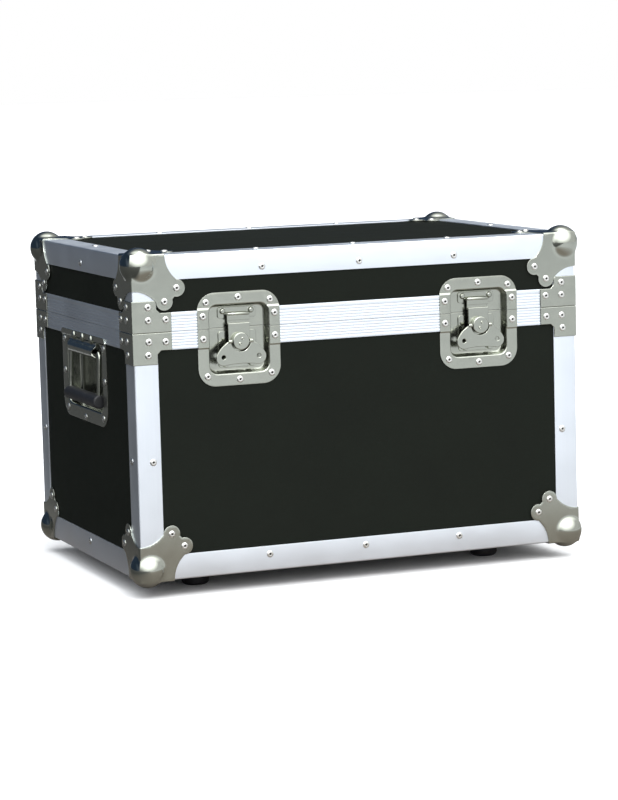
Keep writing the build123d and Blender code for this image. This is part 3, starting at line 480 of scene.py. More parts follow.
def finishes():
    """All finishes, made once from the colours in the panel."""
    colours = bpy.context.scene.case_colours
    if "phenolic_laminate_pressed" not in bpy.data.materials:
        phenolic_laminate(colours.laminate)
        anodised_aluminium(colours.aluminium)
        plated_steel("steel_pressed_zinc", colours.zinc, 0.15, 0.26, 0.00022)
        plated_steel("steel_latch_zinc", colours.zinc, 0.12, 0.20, 0.00013)
        plated_steel("steel_ball_polished", colours.zinc, 0.09, 0.16, 0.00008)
        plated_steel("steel_rod_bright", colours.zinc, 0.12, 0.20, 0.00003)
        plated_steel("rivet_bright", colours.rivet, 0.24, 0.34, 0.00003)
        # The broken mandrel is real steel, but its dark grey is painted shade for the hollow it sits in.
        plated_steel("mandrel_broken", linear("#3c3a38"), 0.45, 0.6, 0.00003)
        moulded_rubber(colours.rubber)
    return {key: bpy.data.materials[name] for key, name in (
        ("laminate", "phenolic_laminate_pressed"), ("aluminium", "aluminium_extruded_anodised"),
        ("zinc", "steel_pressed_zinc"), ("latch", "steel_latch_zinc"), ("ball", "steel_ball_polished"),
        ("rod", "steel_rod_bright"),
        ("rivet", "rivet_bright"), ("mandrel", "mandrel_broken"), ("rubber", "rubber_moulded"))}


# ------------------------------------------------------------------ operators
class CaseOperator:
    """What every piece's operator shares: it builds its pieces from the sizes and finishes."""
    bl_options = {"REGISTER", "UNDO"}

    def execute(self, context):
        self.build(context.scene.case_sizes, finishes())
        return {"FINISHED"}


class CASE_OT_panels(CaseOperator, bpy.types.Operator):
    """Laminate on the plywood panels"""
    bl_idname = "case.panels"
    bl_label = "Panels"

    def build(self, sizes, made):
        for node in frame["nodes"]:
            if node.endswith("_panel"):
                paint(node, made["laminate"])


CORNER_STATIONS = [(sx * HALF_W, sy * HALF_D, -sx, -sy) for sx, sy in CORNERS]


class CASE_OT_edging(CaseOperator, bpy.types.Operator):
    """Aluminium angle round the bottom and the top, mitred at the corners, and on the upright corners"""
    bl_idname = "case.edging"
    bl_label = "Edging"

    def build(self, sizes, made):
        aluminium = made["aluminium"]
        leg, skin, soft = sizes.edge_leg, sizes.skin, sizes.edge_round
        cuts = [soft, 0.4, 0.4, 0.6, 0.4, 0.4]
        angle = np.array([(0, 0), (leg, 0), (leg, skin), (skin, skin), (skin, leg), (0, leg)])
        outline = rounded(angle, cuts, 6)
        low = outline + [0, Z_BOTTOM]
        high = outline * [1, -1] + [0, Z_TOP]
        make_piece("base_bottom_edging", [carry(low, CORNER_STATIONS, True)], aluminium, "base",
                   ["base_bottom_edges"])
        make_piece("lid_top_edging", [carry(high, CORNER_STATIONS, True)], aluminium, "lid",
                   ["lid_top_edges"])
        for body, node in (("base", "base_upright_edges"), ("lid", "lid_upright_edges")):
            bottom, top = (corner[2] for corner in box_mm(node))
            shells = []
            for sx, sy in CORNERS:
                plan = np.array([sx, sy]) * (np.array([HALF_W, HALF_D]) - outline)
                points = np.stack([np.column_stack([plan, np.full(len(plan), z)]) for z in (bottom, top)])
                girth = travelled(plan)
                marks = np.stack([np.column_stack([np.full(len(plan), z), girth]) for z in (bottom, top)])
                around = len(plan)
                faces = grid(2, around, False, True).tolist()
                faces += [list(range(around)), list(range(around, 2 * around))]
                shells.append((points.reshape(-1, 3), faces, marks.reshape(-1, 2)))
            make_piece(f"{body}_upright_edging", shells, aluminium, body, [node])


def rim_profile(start, step, height, web, inner, depth, joint):
    """Ribbed rim from the parting line: grooves 3.4 mm apart on the face, then the web and inner leg."""
    pitch, cut, groove, count, skin, wall = 3.4, 0.5, 1.0, 5, 1.6, 10.6
    points = [(0, start)]
    for i in range(count):
        middle = start + step * pitch * (i + 1)
        points += [(0, middle - step * groove / 2), (cut, middle - step * groove / 2),
                   (cut, middle + step * groove / 2), (0, middle + step * groove / 2)]
    face_count = len(points)
    points += [(0, height), (skin, height), (skin, start + step * web), (wall, start + step * web),
               (wall, start + step * inner), (depth, start + step * inner), (depth, start)]
    points += [(6.6 + along, start + rise) for along, rise in joint]
    cuts = [0.3] + [0.22] * (face_count - 1) + [0.4, 0.4] + [0.3] * 5 + [0.2] * len(joint)
    return rounded(points, cuts, 3)


class CASE_OT_rims(CaseOperator, bpy.types.Operator):
    """Ribbed tongue and groove rims, cut where the latch dishes sink through them"""
    bl_idname = "case.rims"
    bl_label = "Rims"

    def build(self, sizes, made):
        aluminium = made["aluminium"]
        tongue = [(1.5, 0), (0.7, 3.0), (-0.7, 3.0), (-1.5, 0)]
        groove = [(2.5, 0), (1.45, 3.7), (-1.45, 3.7), (-2.5, 0)]
        dish_low, dish_high = box_mm("left_latch_lower_dish")
        dish_x = abs(dish_low[0] + dish_high[0]) / 2
        notch = 39.0
        first = [(dish_x + notch, -HALF_D, 0, 1)] + CORNER_STATIONS[1:] + CORNER_STATIONS[:1] + [
            (-dish_x - notch, -HALF_D, 0, 1)]
        middle = [(x, -HALF_D, 0, 1) for x in (-dish_x + notch, dish_x - notch)]
        for body, start, step, height, web, joint in (
                ("base", Z_SEAM - SEAM_GAP, -1, RIM_LOW, 3.0, tongue),
                ("lid", Z_SEAM + SEAM_GAP, 1, RIM_HIGH, 5.0, groove)):
            profile = rim_profile(start, step, height, web, 16.0, 12.2, joint)
            make_piece(f"{body}_ribbed_rim", [carry(profile, way, False) for way in (first, middle)],
                       aluminium, body, [f"{body}_rim"], crease=30)


def clover(sheet):
    """Outline of a ball corner's plate on one face, from the two edges out to two rivet lobes.

    The hollow sides are circles through three points, and the lobes are circles round the rivets.
    """
    leg, waist, far, near, lobe = 41.8, (45.2, 16.0), 55.3, 39.8, 10.4
    start, end = np.array([leg, 0.0]), np.array([far, near - lobe])
    middle = np.array(waist)
    share = np.linspace(0, 1, 22)[:, None]
    hollow = ((1 - share) * (1 - 2 * share) * start + 4 * share * (1 - share) * middle
              + share * (2 * share - 1) * end)
    notch = np.radians(np.linspace(-90, 105, 28))
    lobes = np.array([far, near]) + lobe * circle(notch)
    lobes = lobes[np.argmax(lobes[:, 0] > end[0] - 1e-6):]
    lobes = lobes[lobes[:, 0] + 0.02 > lobes[:, 1]]
    half = np.concatenate([hollow[:-1], lobes])
    other = half[::-1][:, ::-1]
    steps = np.arange(leg, -sheet, -1.1)[:, None]
    down = np.concatenate([[[-sheet, leg]], np.hstack([np.full_like(steps, -sheet), steps])[1:]])
    across = down[::-1][:, ::-1]
    return np.concatenate([half, other, down, [[-sheet, -sheet]], across])


class CASE_OT_ball_corners(CaseOperator, bpy.types.Operator):
    """Pressed ball corners: three clover plates that swell into one ball"""
    bl_idname = "case.ball_corners"
    bl_label = "Ball corners"

    def patch(self, sizes):
        """Flat pattern of one face: triangles and points, finer near the ball and along the folds."""
        outline = clover(sizes.brace)
        inset = sizes.ball_inset
        radius, angle = np.meshgrid(np.arange(0, 26, 1.0), np.radians(np.arange(0, 360, 6.0)))
        rings = inset + radius.ravel()[:, None] * circle(angle.ravel())
        rings = rings[(rings.min(axis=1) > -sizes.brace + 0.5)]
        rings = np.unique(np.round(rings, 2), axis=0)
        lanes = [np.stack([np.full(40, -sizes.brace + off), np.linspace(-sizes.brace + off, 41, 40)], axis=1)
                 for off in (0.35, 0.75, 1.3)]
        lanes += [lane[:, ::-1] for lane in lanes]
        lanes = np.unique(np.round(np.concatenate(lanes), 3), axis=0)
        rings = rings[nearest(rings, lanes) > 0.5]
        fixed = np.concatenate([outline, rings, lanes])
        rest = clear_grid((1, 1), (66, 66), 2.2, fixed, 1.2)
        points, triangles = fill(outline, np.concatenate([rings, lanes, rest]))
        used, number = np.unique(triangles, return_inverse=True)
        return points[used], number.reshape(-1, 3)

    def build(self, sizes, made):
        sheet, centre, bend = sizes.brace, sizes.ball_inset, 1.6
        flat, triangles = self.patch(sizes)
        edges = np.sort(triangles[:, [0, 1, 1, 2, 2, 0]].reshape(-1, 2), axis=1)
        edges, uses = np.unique(edges, axis=0, return_counts=True)
        rim = edges[uses == 1]
        on_fold = (flat[rim] < -sheet + 0.01).all(axis=1).any(axis=1)
        rim = rim[~on_fold]

        def surface(radius, ball, sink):
            """Point on the folded sheet: a rounded box, pushed out along its ray to the ball."""
            point = np.column_stack([flat, np.full(len(flat), -sheet)])
            kept = np.maximum(point, bend - sheet)
            out = point - kept
            point = kept + radius * out / np.linalg.norm(out, axis=1)[:, None]
            ray = point - centre
            length = np.linalg.norm(ray, axis=1)
            point = centre + ray * (smooth_max(length, ball, sizes.ball_fillet) / length)[:, None]
            point[:, 2] += sink
            return point

        over_panel = np.clip((flat.min(axis=1) - 29.0) / 1.0, 0, 1) * sizes.skin
        outer = surface(bend, sizes.ball_radius, 0)
        inner = surface(bend - sheet + 0.02, sizes.ball_radius - sheet, over_panel)
        count = len(flat)
        walls = np.column_stack([rim, rim[:, ::-1] + count])
        faces = [*triangles.tolist(), *(triangles + count)[:, ::-1].tolist(), *walls.tolist()]
        patch = np.concatenate([outer, inner])
        for body, level, up in (("base", Z_BOTTOM, 1), ("lid", Z_TOP, -1)):
            shells = []
            for sx in (-1, 1):
                for sy in (-1, 1):
                    for turn in range(3):
                        w = np.roll(patch, turn, axis=1)
                        place = np.stack([sx * (HALF_W - w[:, 0]), sy * (HALF_D - w[:, 1]),
                                          level + up * w[:, 2]], axis=1)
                        shells.append((place, faces))
            make_piece(f"{body}_pressed_corners", shells, made["ball"], body,
                       [f"{body}_ball_corners"], bevel=0.3, crease=30)


class CASE_OT_braces(CaseOperator, bpy.types.Operator):
    """Folded braces beside the parting line"""
    bl_idname = "case.braces"
    bl_label = "Braces"

    def build(self, sizes, made):
        zinc = made["zinc"]
        for body in ("base", "lid"):
            refined(f"{body}_corner_braces", zinc, 0.75)


# A flange's step over the rim starts and ends this far from the rim, and its slope is this long.
STEP_FAR, STEP_NEAR, STEP_RUN = 2.2, 0.3, 1.9


def joggle(height, low, high, out, flat):
    """Depth of a flange's face: flat on the panel, stepped out between low and high over the rim."""
    rise = (np.clip((height - (low - STEP_FAR)) / STEP_RUN, 0, 1)
            * np.clip(((high + STEP_FAR) - height) / STEP_RUN, 0, 1))
    return flat + (out - flat) * rise


def dish_shell(outer, pan, rows, depth_at, place, levels, spacing=3.0):
    """Pressed dish as one open sheet: flange, rolled mouth, drawn wall and floor.

    outer and pan are loops of (points, normals); each row is (offset from the pan's loop, depth, share
    of the flange's own depth), and place turns (u, v, depth) into the case's x, y, z.
    """
    outer_points, _ = with_levels(*outer, levels)
    pan_points, pan_normals = with_levels(*pan, levels)
    mouth = pan_points + rows[0][0] * pan_normals
    lines = []
    for level in levels:
        u = np.arange(outer_points[:, 0].min() + 0.6, outer_points[:, 0].max(), 1.2)
        lines.append(np.column_stack([u, np.full(len(u), level)]))
    fixed = np.concatenate([outer_points, mouth])
    lines = np.concatenate(lines)
    lines = lines[nearest(lines, fixed) > 0.5]
    near = np.concatenate([fixed, lines])
    rest = clear_grid(outer_points.min(axis=0), outer_points.max(axis=0), spacing, near, 1.1)
    flat, triangles = fill(outer_points, np.concatenate([mouth, lines, rest]))
    middle = flat[triangles].mean(axis=1)
    # A triangle belongs to the flange when its middle is on the outer side of the nearest mouth point.
    closest = np.linalg.norm(middle[:, None] - mouth[None], axis=2).argmin(axis=1)
    outside = ((middle - mouth[closest]) * pan_normals[closest]).sum(axis=1) > 0
    triangles = triangles[outside]
    used, number = np.unique(triangles, return_inverse=True)
    flange = place(flat[used], depth_at(flat[used]))
    shells = [(flange, number.reshape(-1, 3).tolist())]
    offsets, depths, shares = (np.array(column)[:, None] for column in zip(*rows))
    around = pan_points[None] + offsets[..., None] * pan_normals[None]
    own = depth_at(mouth)[None] * shares
    wall = place(around.reshape(-1, 2), (own + depths).ravel())
    shells.append((wall, grid(len(rows), len(pan_points), False, True).tolist()))
    floor_loop = around[-1]
    floor_rest = clear_grid(floor_loop.min(axis=0), floor_loop.max(axis=0), 2 * spacing, floor_loop, 2.0)
    floor, floor_triangles = fill(floor_loop, floor_rest)
    shells.append((place(floor, np.full(len(floor), float(depths[-1, 0]))), floor_triangles.tolist()))
    return shells


def pan_rows(mouth, depth, foot, draft):
    """Rows down a recess: a quarter round at the mouth, a drafted wall and a quarter round at the floor."""
    turn = np.radians(np.linspace(0, 90, 6))
    rows = [(mouth * (1 - np.sin(a)), mouth * (1 - np.cos(a)), 1.0) for a in turn]
    middle = depth - foot
    for share in (0.25, 0.5, 0.75):
        rows.append((-draft * share, mouth + (middle - mouth) * share, 1.0 - share))
    rows += [(-draft - foot * (1 - np.cos(a)), middle + foot * np.sin(a), 0.0) for a in turn]
    return rows


class CASE_OT_latch_dishes(CaseOperator, bpy.types.Operator):
    """Recessed latch dishes, stepped over the rim and parted along the case's parting line"""
    bl_idname = "case.latch_dishes"
    bl_label = "Latch dishes"

    def build(self, sizes, made):
        zinc = made["zinc"]
        sheet, skin = sizes.plate, sizes.skin
        flange_round, pan_half_w, pan_half_h, pan_round = 22.0, 37.3, 40.7, 10.0
        for side in SIDES:
            lower, upper = box_mm(f"{side}_latch_lower_dish"), box_mm(f"{side}_latch_upper_dish")
            x = (lower[0][0] + lower[1][0]) / 2
            low, high = lower[0][2], upper[1][2]
            middle = (low + high) / 2 - 0.2
            outer = rounded_loop((lower[1][0] - lower[0][0]) / 2, low, high, flange_round, flange_round)
            pan = rounded_loop(pan_half_w, middle - pan_half_h, middle + pan_half_h, pan_round, pan_round)
            levels = [RIM_LOW - STEP_FAR, RIM_LOW - STEP_NEAR, RIM_HIGH + STEP_NEAR, RIM_HIGH + STEP_FAR]

            def place(points, depth, x=x):
                return np.column_stack([x + points[:, 0], depth - HALF_D, points[:, 1]])

            shells = dish_shell(outer, pan, pan_rows(2.0, 11.0, 2.6, 0.8),
                                lambda p: joggle(p[:, 1], RIM_LOW, RIM_HIGH, -sheet, skin - sheet), place,
                                levels)
            for body, part, cut in (("base", "lower", (Z_SEAM - SEAM_GAP, False)),
                                    ("lid", "upper", (Z_SEAM + SEAM_GAP, True))):
                make_piece(f"{side}_latch_{part}_pressing", shells, zinc, body,
                           [f"{side}_latch_{part}_dish"], wall=sheet, facing=(0, -1, 0), cuts=[cut],
                           bevel=0.7)


class CASE_OT_latch_works(CaseOperator, bpy.types.Operator):
    """Keepers, bearing plates, turning bosses, hooks, wings and wing pins"""
    bl_idname = "case.latch_works"
    bl_label = "Latch works"

    def build(self, sizes, made):
        for side in SIDES:
            for part, finish, bevel in (
                    ("keeper", "latch", 0.4), ("base_plate", "latch", 0.5), ("rotor", "latch", 0.5),
                    ("hook", "latch", 0.6), ("wing", "latch", 0.7), ("wing_pin", "rod", 0.3)):
                refined(f"{side}_latch_{part}", made[finish], bevel)
            # Two staked pins on a slant across the boss.
            low, high = box_mm(f"{side}_latch_rotor")
            axis_z = joints[f"{side}_latch_turn"]["pos_m"][2] * 1000
            centre = np.array([(low[0] + high[0]) / 2, low[1], axis_z])
            pin = [(0, 0.2), (0.6, 0.25), (0.85, 0.6), (1.2, 0.9), (1.6, 0.7), (1.8, 0.2),
                   (1.8, -0.3), (0, -0.3)]
            shells = [lathe(pin, 24, lambda p, at=centre + off: at + p[:, [0, 2, 1]] * [1, -1, 1])
                      for off in (np.array([1.6, 0, 3.2]), np.array([-1.5, 0, -3.1]))]
            make_piece(f"{side}_latch_boss_pins", shells, made["latch"], f"{side}_latch_rotor_set",
                       [])
            # The keeper's lip ends in a rolled bar, clear of the hook's nose at the top of its travel.
            half, radius, chamfer = 14.0, 2.2, 0.7
            cap = [(0, half), (radius - chamfer, half), (radius, half - chamfer)]
            bar = cap + [(radius, 0.0)] + [(r, -h) for r, h in reversed(cap)]
            roll_depth, roll_rise = 5.0, 32.0
            spot = centre * [1, 0, 1] + [0, roll_depth - HALF_D, roll_rise]
            roll = lathe(bar, 28, lambda p, at=spot: at + p[:, [2, 0, 1]])
            make_piece(f"{side}_latch_keeper_roll", [roll], made["latch"], "lid", [],
                       crease=50)


class CASE_OT_handle_dishes(CaseOperator, bpy.types.Operator):
    """Recessed handle dishes with three pressed beads over the step"""
    bl_idname = "case.handle_dishes"
    bl_label = "Handle dishes"

    def build(self, sizes, made):
        zinc = made["zinc"]
        sheet, skin = sizes.plate, sizes.skin
        dome = [(np.sin(a), np.cos(a)) for a in np.radians(np.linspace(0, 110, 12))]
        dome.append((0.0, dome[-1][1]))
        bead_pitch = 35.0
        for side, out in SIDES.items():
            lower, upper = box_mm(f"{side}_handle_dish")
            outer = rounded_loop((upper[1] - lower[1]) / 2, lower[2], upper[2], 24.0, 8.0, 1.6)
            pan = rounded_loop(71.5, Z_BOTTOM + 188, Z_BOTTOM + 270, 12.0, 12.0, 1.6)
            levels = [RIM_LOW - STEP_FAR, RIM_LOW - STEP_NEAR]

            def place(points, depth, out=out):
                return np.column_stack([out * (HALF_W - depth), points[:, 0], points[:, 1]])

            shells = dish_shell(outer, pan, pan_rows(2.2, 19.6, 4.0, 1.5),
                                lambda p: joggle(p[:, 1], RIM_LOW, 2 * Z_TOP, -sheet, skin - sheet), place,
                                levels)
            make_piece(f"{side}_handle_pressing", shells, zinc, "base",
                       [f"{side}_handle_dish"], wall=sheet, facing=(out, 0, 0), bevel=0.5)
            # Each bead is an ellipsoid half sunk in the flange, 8 mm wide, 12 mm tall and 4 mm proud.
            beads = [lathe(dome, 28, lambda p, y=y: [out * HALF_W, y, RIM_LOW + 0.6]
                           + p[:, [2, 0, 1]] * [out * 4.0, 4.0, 6.0])
                     for y in (-bead_pitch, 0.0, bead_pitch)]
            make_piece(f"{side}_handle_beads", beads, zinc, "base", [])


class CASE_OT_handle_covers(CaseOperator, bpy.types.Operator):
    """Rolled covers over the swing rods, notched at both ends"""
    bl_idname = "case.handle_covers"
    bl_label = "Handle covers"

    def build(self, sizes, made):
        zinc = made["zinc"]
        for side, out in SIDES.items():
            low, high = box_mm(f"{side}_handle_cover")
            swing = np.array(joints[f"{side}_handle_swing"]["pos_m"]) * 1000
            radius, wall, half = 8.0, 1.2, high[1]
            axis_depth = HALF_W - abs(swing[0])
            # Down the lip, round the front of the roll and a little way under it.
            turn = np.radians(np.linspace(58, -98, 30))
            roll = np.column_stack([axis_depth - radius * np.cos(turn), radius * np.sin(turn)])
            lip = np.array([(-0.8, high[2] - swing[2]), (-0.8, 9.4), (-0.95, 8.5), (-1.35, 7.7)])
            line = np.concatenate([lip, roll])
            share = np.linspace(-1, 1, 61)
            bite = np.sqrt(np.maximum(5.2 ** 2 - (line[:, 1] + 0.5) ** 2, 0)) * 0.9
            reach = half - bite
            along = share[None] * reach[:, None]
            depth, height = (np.broadcast_to(line[:, i, None], along.shape) for i in (0, 1))
            points = np.stack([out * (HALF_W - depth), along, swing[2] + height], axis=-1)
            make_piece(f"{side}_handle_rolled_cover", [(points.reshape(-1, 3), grid(*along.shape).tolist())],
                       zinc, "base", [f"{side}_handle_cover"], wall=wall - 0.1,
                       facing=(out, 0, 0), bevel=0.2)


def tube(path, radius, ways, count=20):
    """Round rod along a closed flat path: each point plus radius times a circle across the path."""
    tangent = np.roll(path, -1, axis=0) - np.roll(path, 1, axis=0)
    tangent /= np.linalg.norm(tangent, axis=1)[:, None]
    side = np.stack([tangent[:, 1], -tangent[:, 0]], axis=1)
    first, second, normal = ways
    centre = path[:, :1] * first + path[:, 1:] * second
    across = side[:, :1] * first + side[:, 1:] * second
    angle = full_turn(count)
    points = (centre[:, None] + radius * (np.cos(angle)[None, :, None] * across[:, None]
                                          + np.sin(angle)[None, :, None] * normal))
    return points.reshape(-1, 3), grid(len(path), count, True, True).tolist()


def lathe(profile, count, place):
    """Profile of (radius, height) turned round its axis; place turns (x, y, height) into the case."""
    profile = np.asarray(profile, float)
    angle = full_turn(count)
    x = profile[:, :1] * np.cos(angle)
    y = profile[:, :1] * np.sin(angle)
    height = np.broadcast_to(profile[:, 1:], x.shape)
    points = np.stack([x, y, height], axis=-1).reshape(-1, 3)
    return place(points), grid(len(profile), count, False, True).tolist()


class CASE_OT_handle_bails(CaseOperator, bpy.types.Operator):
    """Sprung bails with their rubber grips"""
    bl_idname = "case.handle_bails"
    bl_label = "Handle bails"

    def build(self, sizes, made):
        lean = np.radians(2.7)
        for side, out in SIDES.items():
            swing = np.array(joints[f"{side}_handle_swing"]["pos_m"]) * 1000
            down = np.array([out * np.sin(lean), 0, -np.cos(lean)])
            along = np.array([0.0, 1.0, 0.0])
            ways = (along, down, np.cross(along, down))
            half, drop, rod = 58.5, 60.0, 3.0
            bend = rounded([(-half, 0), (half, 0), (half, drop), (-half, drop)], 8.0, 10)
            points, faces = tube(bend, rod, ways)
            make_piece(f"{side}_handle_rod", [(points + swing, faces)], made["rod"], f"{side}_handle",
                       [f"{side}_handle_bail"])
            low, high = box_mm(f"{side}_handle_grip")
            length, radius = high[1], (high[0] - low[0]) / 2
            edge = np.radians(np.linspace(0, 90, 7))
            soft, waist = 2.4, 0.35
            end = [(radius - soft + soft * np.sin(a), length - soft + soft * np.cos(a)) for a in edge]
            body = [(radius - waist * np.sin(np.pi * s), length * (1 - 2 * s))
                    for s in np.linspace(0.06, 0.94, 23)]
            profile = ([(0.0, length)] + end + body
                       + [(r, -h) for r, h in reversed(end)] + [(0.0, -length)])
            centre = swing + down * drop

            def place(points, centre=centre, down=down, ways=ways):
                return (centre + points[:, :1] * down + points[:, 1:2] * ways[2] + points[:, 2:] * ways[0])

            make_piece(f"{side}_handle_rubber_grip", [lathe(profile, 40, place)], made["rubber"],
                       f"{side}_handle", [f"{side}_handle_grip"], crease=50)
            paint(f"{side}_handle_spring", made["rod"])


class CASE_OT_hinges(CaseOperator, bpy.types.Operator):
    """Hinge leaves and pins on the back"""
    bl_idname = "case.hinges"
    bl_label = "Hinges"

    def build(self, sizes, made):
        for side in SIDES:
            for part in ("base_leaf", "lid_leaf"):
                refined(f"{side}_hinge_{part}", made["zinc"], 0.3)
            refined(f"{side}_hinge_pin", made["rod"], 0.3)


class CASE_OT_feet(CaseOperator, bpy.types.Operator):
    """Rubber feet with their screws"""
    bl_idname = "case.feet"
    bl_label = "Feet"

    def build(self, sizes, made):
        low, high = box_mm("feet")
        wide, narrow, well, floor = 19.0, 16.0, 7.5, 12.0
        reach = high[:2] - wide
        turn = np.radians(np.linspace(0, 90, 8))
        edge = [(narrow - 3.9 + 3.9 * np.cos(a) + 0.6 * (1 - np.sin(a)), 4.4 - 4.4 * np.sin(a)) for a in turn]
        profile = [(2.6, Z_BOTTOM), (wide - 0.4, Z_BOTTOM), (wide, Z_BOTTOM - 0.5), (wide - 0.35, 19.0)]
        profile += edge + [(well + 0.8, 0.0), (well, 0.9), (well, floor), (2.6, floor), (2.6, Z_BOTTOM)]
        shells = [lathe(profile, 64, lambda p, x=x, y=y: p + [x, y, 0])
                  for x in (-reach[0], reach[0]) for y in (-reach[1], reach[1])]
        make_piece("rubber_feet", shells, made["rubber"], "base", ["feet"], crease=50)
        paint("foot_screws", made["rod"])


def islands(node):
    """Lowest and highest corners, in mm, of each separate solid in a CAD node.

    Every point takes the lowest number among its triangles' points until nothing changes.
    """
    points, triangles = node_triangles(node)
    label = np.arange(len(points))
    while True:
        lowest = label[triangles].min(axis=1)
        spread = label.copy()
        np.minimum.at(spread, triangles.ravel(), np.repeat(lowest, 3))
        if (spread == label).all():
            break
        label = spread
    _, number = np.unique(label, return_inverse=True)
    low = np.full((number.max() + 1, 3), np.inf)
    high = -low
    np.minimum.at(low, number, points)
    np.maximum.at(high, number, points)
    return low, high


class CASE_OT_rivets(CaseOperator, bpy.types.Operator):
    """Pop rivets: a washer edge, a dome and the hollow that the mandrel leaves, where the mandrel is painted
    dark grey as painted shade in the hollow.
    """
    bl_idname = "case.rivets"
    bl_label = "Rivets"

    def build(self, sizes, made):
        bright, dark = made["rivet"], made["mandrel"]
        wide, tall = sizes.rivet_radius, sizes.rivet_height
        rise = np.linspace(0, 1, 7)
        hole = 1.45
        dome = [(wide - 0.15 - (wide - 0.15 - hole - 0.25) * s,
                 tall * (0.3 + 0.7 * np.sqrt(1 - (1 - s) ** 2))) for s in rise]
        head = np.array([(0.0, -0.05), (wide, -0.05), (wide, tall * 0.22)] + dome
                        + [(hole, tall - 0.12), (hole - 0.1, 0.2), (0.0, 0.2)])
        mandrel = np.array([(0.0, 0.3), (hole - 0.15, 0.3), (hole - 0.35, 0.55), (0.5, 0.7), (0.0, 0.72)])
        middle = np.array([0, 0, (Z_BOTTOM + Z_TOP) / 2])
        for body in ("base", "lid"):
            low, high = islands(f"{body}_rivets")
            centre = (low + high) / 2
            axis = (high - low).argmin(axis=1)
            row = np.arange(len(centre))
            sign = np.sign(centre[row, axis] - middle[axis])
            foot = centre.copy()
            foot[row, axis] -= sign * (high - low)[row, axis] / 2
            out = np.zeros_like(centre)
            out[row, axis] = sign
            across = np.zeros_like(centre)
            across[row, (axis + 1) % 3] = 1
            other = np.cross(out, across)
            angle = full_turn(22)
            # The mandrel shells wear the dark grey finish, which is painted shade in each rivet's hollow.
            for piece, profile, finish in (("pop_rivets", head, bright), ("rivet_mandrels", mandrel, dark)):
                ring = profile[None, :, None, 0, None] * (np.cos(angle)[:, None] * across[:, None, None]
                                                          + np.sin(angle)[:, None] * other[:, None, None])
                points = foot[:, None, None] + ring + profile[None, :, None, 1, None] * out[:, None, None]
                faces = grid(len(profile), len(angle), False, True)
                shift = np.arange(len(centre))[:, None, None] * len(profile) * len(angle)
                make_piece(f"{body}_{piece}", [(points.reshape(-1, 3), (faces[None] + shift).reshape(-1, 4))],
                           finish, body, [f"{body}_rivets"] if finish == bright else [], crease=45)


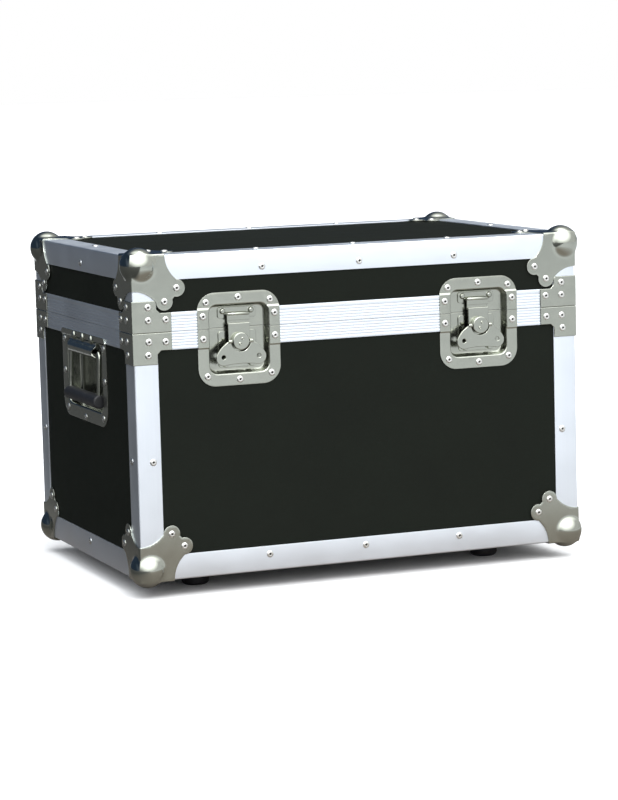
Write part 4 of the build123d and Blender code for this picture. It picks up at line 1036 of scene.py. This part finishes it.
class CASE_OT_stage(CaseOperator, bpy.types.Operator):
    """Pale floor, soft studio light and the camera"""
    bl_idname = "case.stage"
    bl_label = "Stage"

    def execute(self, context):
        scene = context.scene
        scene.view_settings.view_transform = "Standard"
        # Floor: a wide disc that fades away behind the case.
        count, reach = 96, 30.0
        angle = full_turn(count)
        mesh = bpy.data.meshes.new("studio_floor")
        mesh.from_pydata(np.column_stack([reach * np.cos(angle), reach * np.sin(angle), 0 * angle]).tolist(),
                         [], [list(range(count))])
        floor = bpy.data.objects.new("studio_floor", mesh)
        scene.collection.objects.link(floor)
        tree, place = start_material("painted_board_matt")
        split = add(tree, "ShaderNodeSeparateXYZ", [("Vector", place, "Object")])
        path = add(tree, "ShaderNodeLightPath")
        # Seen only in the metal's reflections, the floor wears painted colour: a painted reflection that is
        # brown-grey near the case and greyer further out, and painted shade that darkens it to the left as
        # beside a dark studio wall.
        shade = spread(tree, split, "X", 0.0, 1.0, -0.42, -0.26)
        away = add(tree, "ShaderNodeVectorMath", [(0, place, "Object")], operation="LENGTH")
        far = spread(tree, away, "Value", 0.0, 1.0, 0.5, 1.1)
        reflected_ground = blend(tree, far, "Result", (0.20, 0.175, 0.155, 1), (0.47, 0.48, 0.49, 1))
        mirrored = blend(tree, shade, "Result", (0.035, 0.035, 0.034, 1), reflected_ground)
        tint = blend(tree, path, "Is Glossy Ray", list(scene.case_colours.floor), mirrored)
        principled(tree, tint, {"Roughness": 0.9})
        mesh.materials.append(bpy.data.materials["painted_board_matt"])
        self.light_room(scene)
        self.set_camera(scene)
        return {"FINISHED"}

    def light_room(self, scene):
        """A white room that is dark on the left, and two softboxes."""
        world = bpy.data.worlds.new("studio_room")
        scene.world = world
        world.use_nodes = True
        tree = world.node_tree
        tree.nodes.clear()
        place = add(tree, "ShaderNodeTexCoord")

        def towards(way):
            """How far each direction of the room lies towards a way."""
            return add(tree, "ShaderNodeVectorMath", [(0, place, "Generated")], {1: way},
                       operation="DOT_PRODUCT")

        side = spread(tree, towards((0.42, -0.80, 0.42)), "Value", 0.10, 1.0, -0.45, 0.6)
        ceiling = spread(tree, towards((-0.10, -0.50, 0.86)), "Value", 0.0, 2.4, 0.45, 0.85)
        haze = spread(tree, side, "Result", 0.0, 1.0, 0.10, 0.45)
        cast = blend(tree, haze, "Result", (0.36, 0.58, 0.98, 1), (0.97, 0.985, 1.0, 1))
        both = add(tree, "ShaderNodeMath", [(0, side, "Result"), (1, ceiling, "Result")], operation="ADD")
        path = add(tree, "ShaderNodeLightPath")
        strength = add(tree, "ShaderNodeMix", [("Factor", path, "Is Camera Ray"), ("A", both, "Value")],
                       {"B": 1.0}, data_type="FLOAT")
        seen = blend(tree, path, "Is Camera Ray", cast, (1, 1, 1, 1))
        room = add(tree, "ShaderNodeBackground", [("Strength", strength, "Result")])
        tree.links.new(seen.outputs[2], room.inputs["Color"])
        add(tree, "ShaderNodeOutputWorld", [("Surface", room, "Background")])
        for name, spot, size, power in (("softbox_left", (-0.5, -2.8, 2.4), 0.8, 40.0),
                                        ("softbox_top", (0.5, -0.4, 2.6), 1.6, 12.0)):
            lamp = bpy.data.lights.new(name, "AREA")
            lamp.shape, lamp.size, lamp.energy = "SQUARE", size, power
            holder = bpy.data.objects.new(name, lamp)
            scene.collection.objects.link(holder)
            holder.location = spot
            aim = np.array([0.0, 0.0, 0.2]) - np.array(spot)
            holder.rotation_mode = "QUATERNION"
            holder.rotation_quaternion = Vector(aim).to_track_quat("-Z", "Y")

    def set_camera(self, scene):
        """Long lens from the front left, a little above the case."""
        lens = bpy.data.cameras.new("camera")
        lens.lens, lens.sensor_width = 127.65, 36.0
        lens.clip_start, lens.clip_end = 0.1, 100.0
        camera = bpy.data.objects.new("camera", lens)
        scene.collection.objects.link(camera)
        right = np.array([0.92844, -0.37054, -0.02643])
        ahead = np.array([0.36468, 0.92268, -0.12520])
        up = np.cross(right, ahead)
        turned = Matrix(np.column_stack([right, up, -ahead]).tolist())
        camera.matrix_world = Matrix.Translation((-1.31305, -3.34432, 0.6521)) @ turned.to_4x4()
        scene.camera = camera


class CASE_PT_panel(bpy.types.Panel):
    """Every piece of the case, and what its sizes and colours are"""
    bl_idname = "CASE_PT_panel"
    bl_label = "Hard Equipment Case"
    bl_space_type = "VIEW_3D"
    bl_region_type = "UI"
    bl_category = "Case"

    def draw(self, context):
        layout = self.layout
        for group in (context.scene.case_sizes, context.scene.case_colours):
            box = layout.box()
            for key in group.bl_rna.properties.keys():
                if key not in ("rna_type", "name"):
                    box.prop(group, key)
        for operator in OPERATORS:
            layout.operator(operator.bl_idname)


OPERATORS = (CASE_OT_stage, CASE_OT_panels, CASE_OT_edging, CASE_OT_rims, CASE_OT_ball_corners,
             CASE_OT_braces, CASE_OT_latch_dishes, CASE_OT_latch_works, CASE_OT_handle_dishes,
             CASE_OT_handle_covers, CASE_OT_handle_bails, CASE_OT_hinges, CASE_OT_feet, CASE_OT_rivets)
CLASSES = (CaseSizes, CaseColours, *OPERATORS, CASE_PT_panel)


def register():
    for cls in CLASSES:
        bpy.utils.register_class(cls)
    bpy.types.Scene.case_sizes = bpy.props.PointerProperty(type=CaseSizes)
    bpy.types.Scene.case_colours = bpy.props.PointerProperty(type=CaseColours)


def unregister():
    del bpy.types.Scene.case_sizes
    del bpy.types.Scene.case_colours
    for cls in reversed(CLASSES):
        bpy.utils.unregister_class(cls)


def main():
    """Build everything in order."""
    register()
    for operator in OPERATORS:
        group, name = operator.bl_idname.split(".")
        getattr(getattr(bpy.ops, group), name)()


if __name__ == "__main__":
    main()
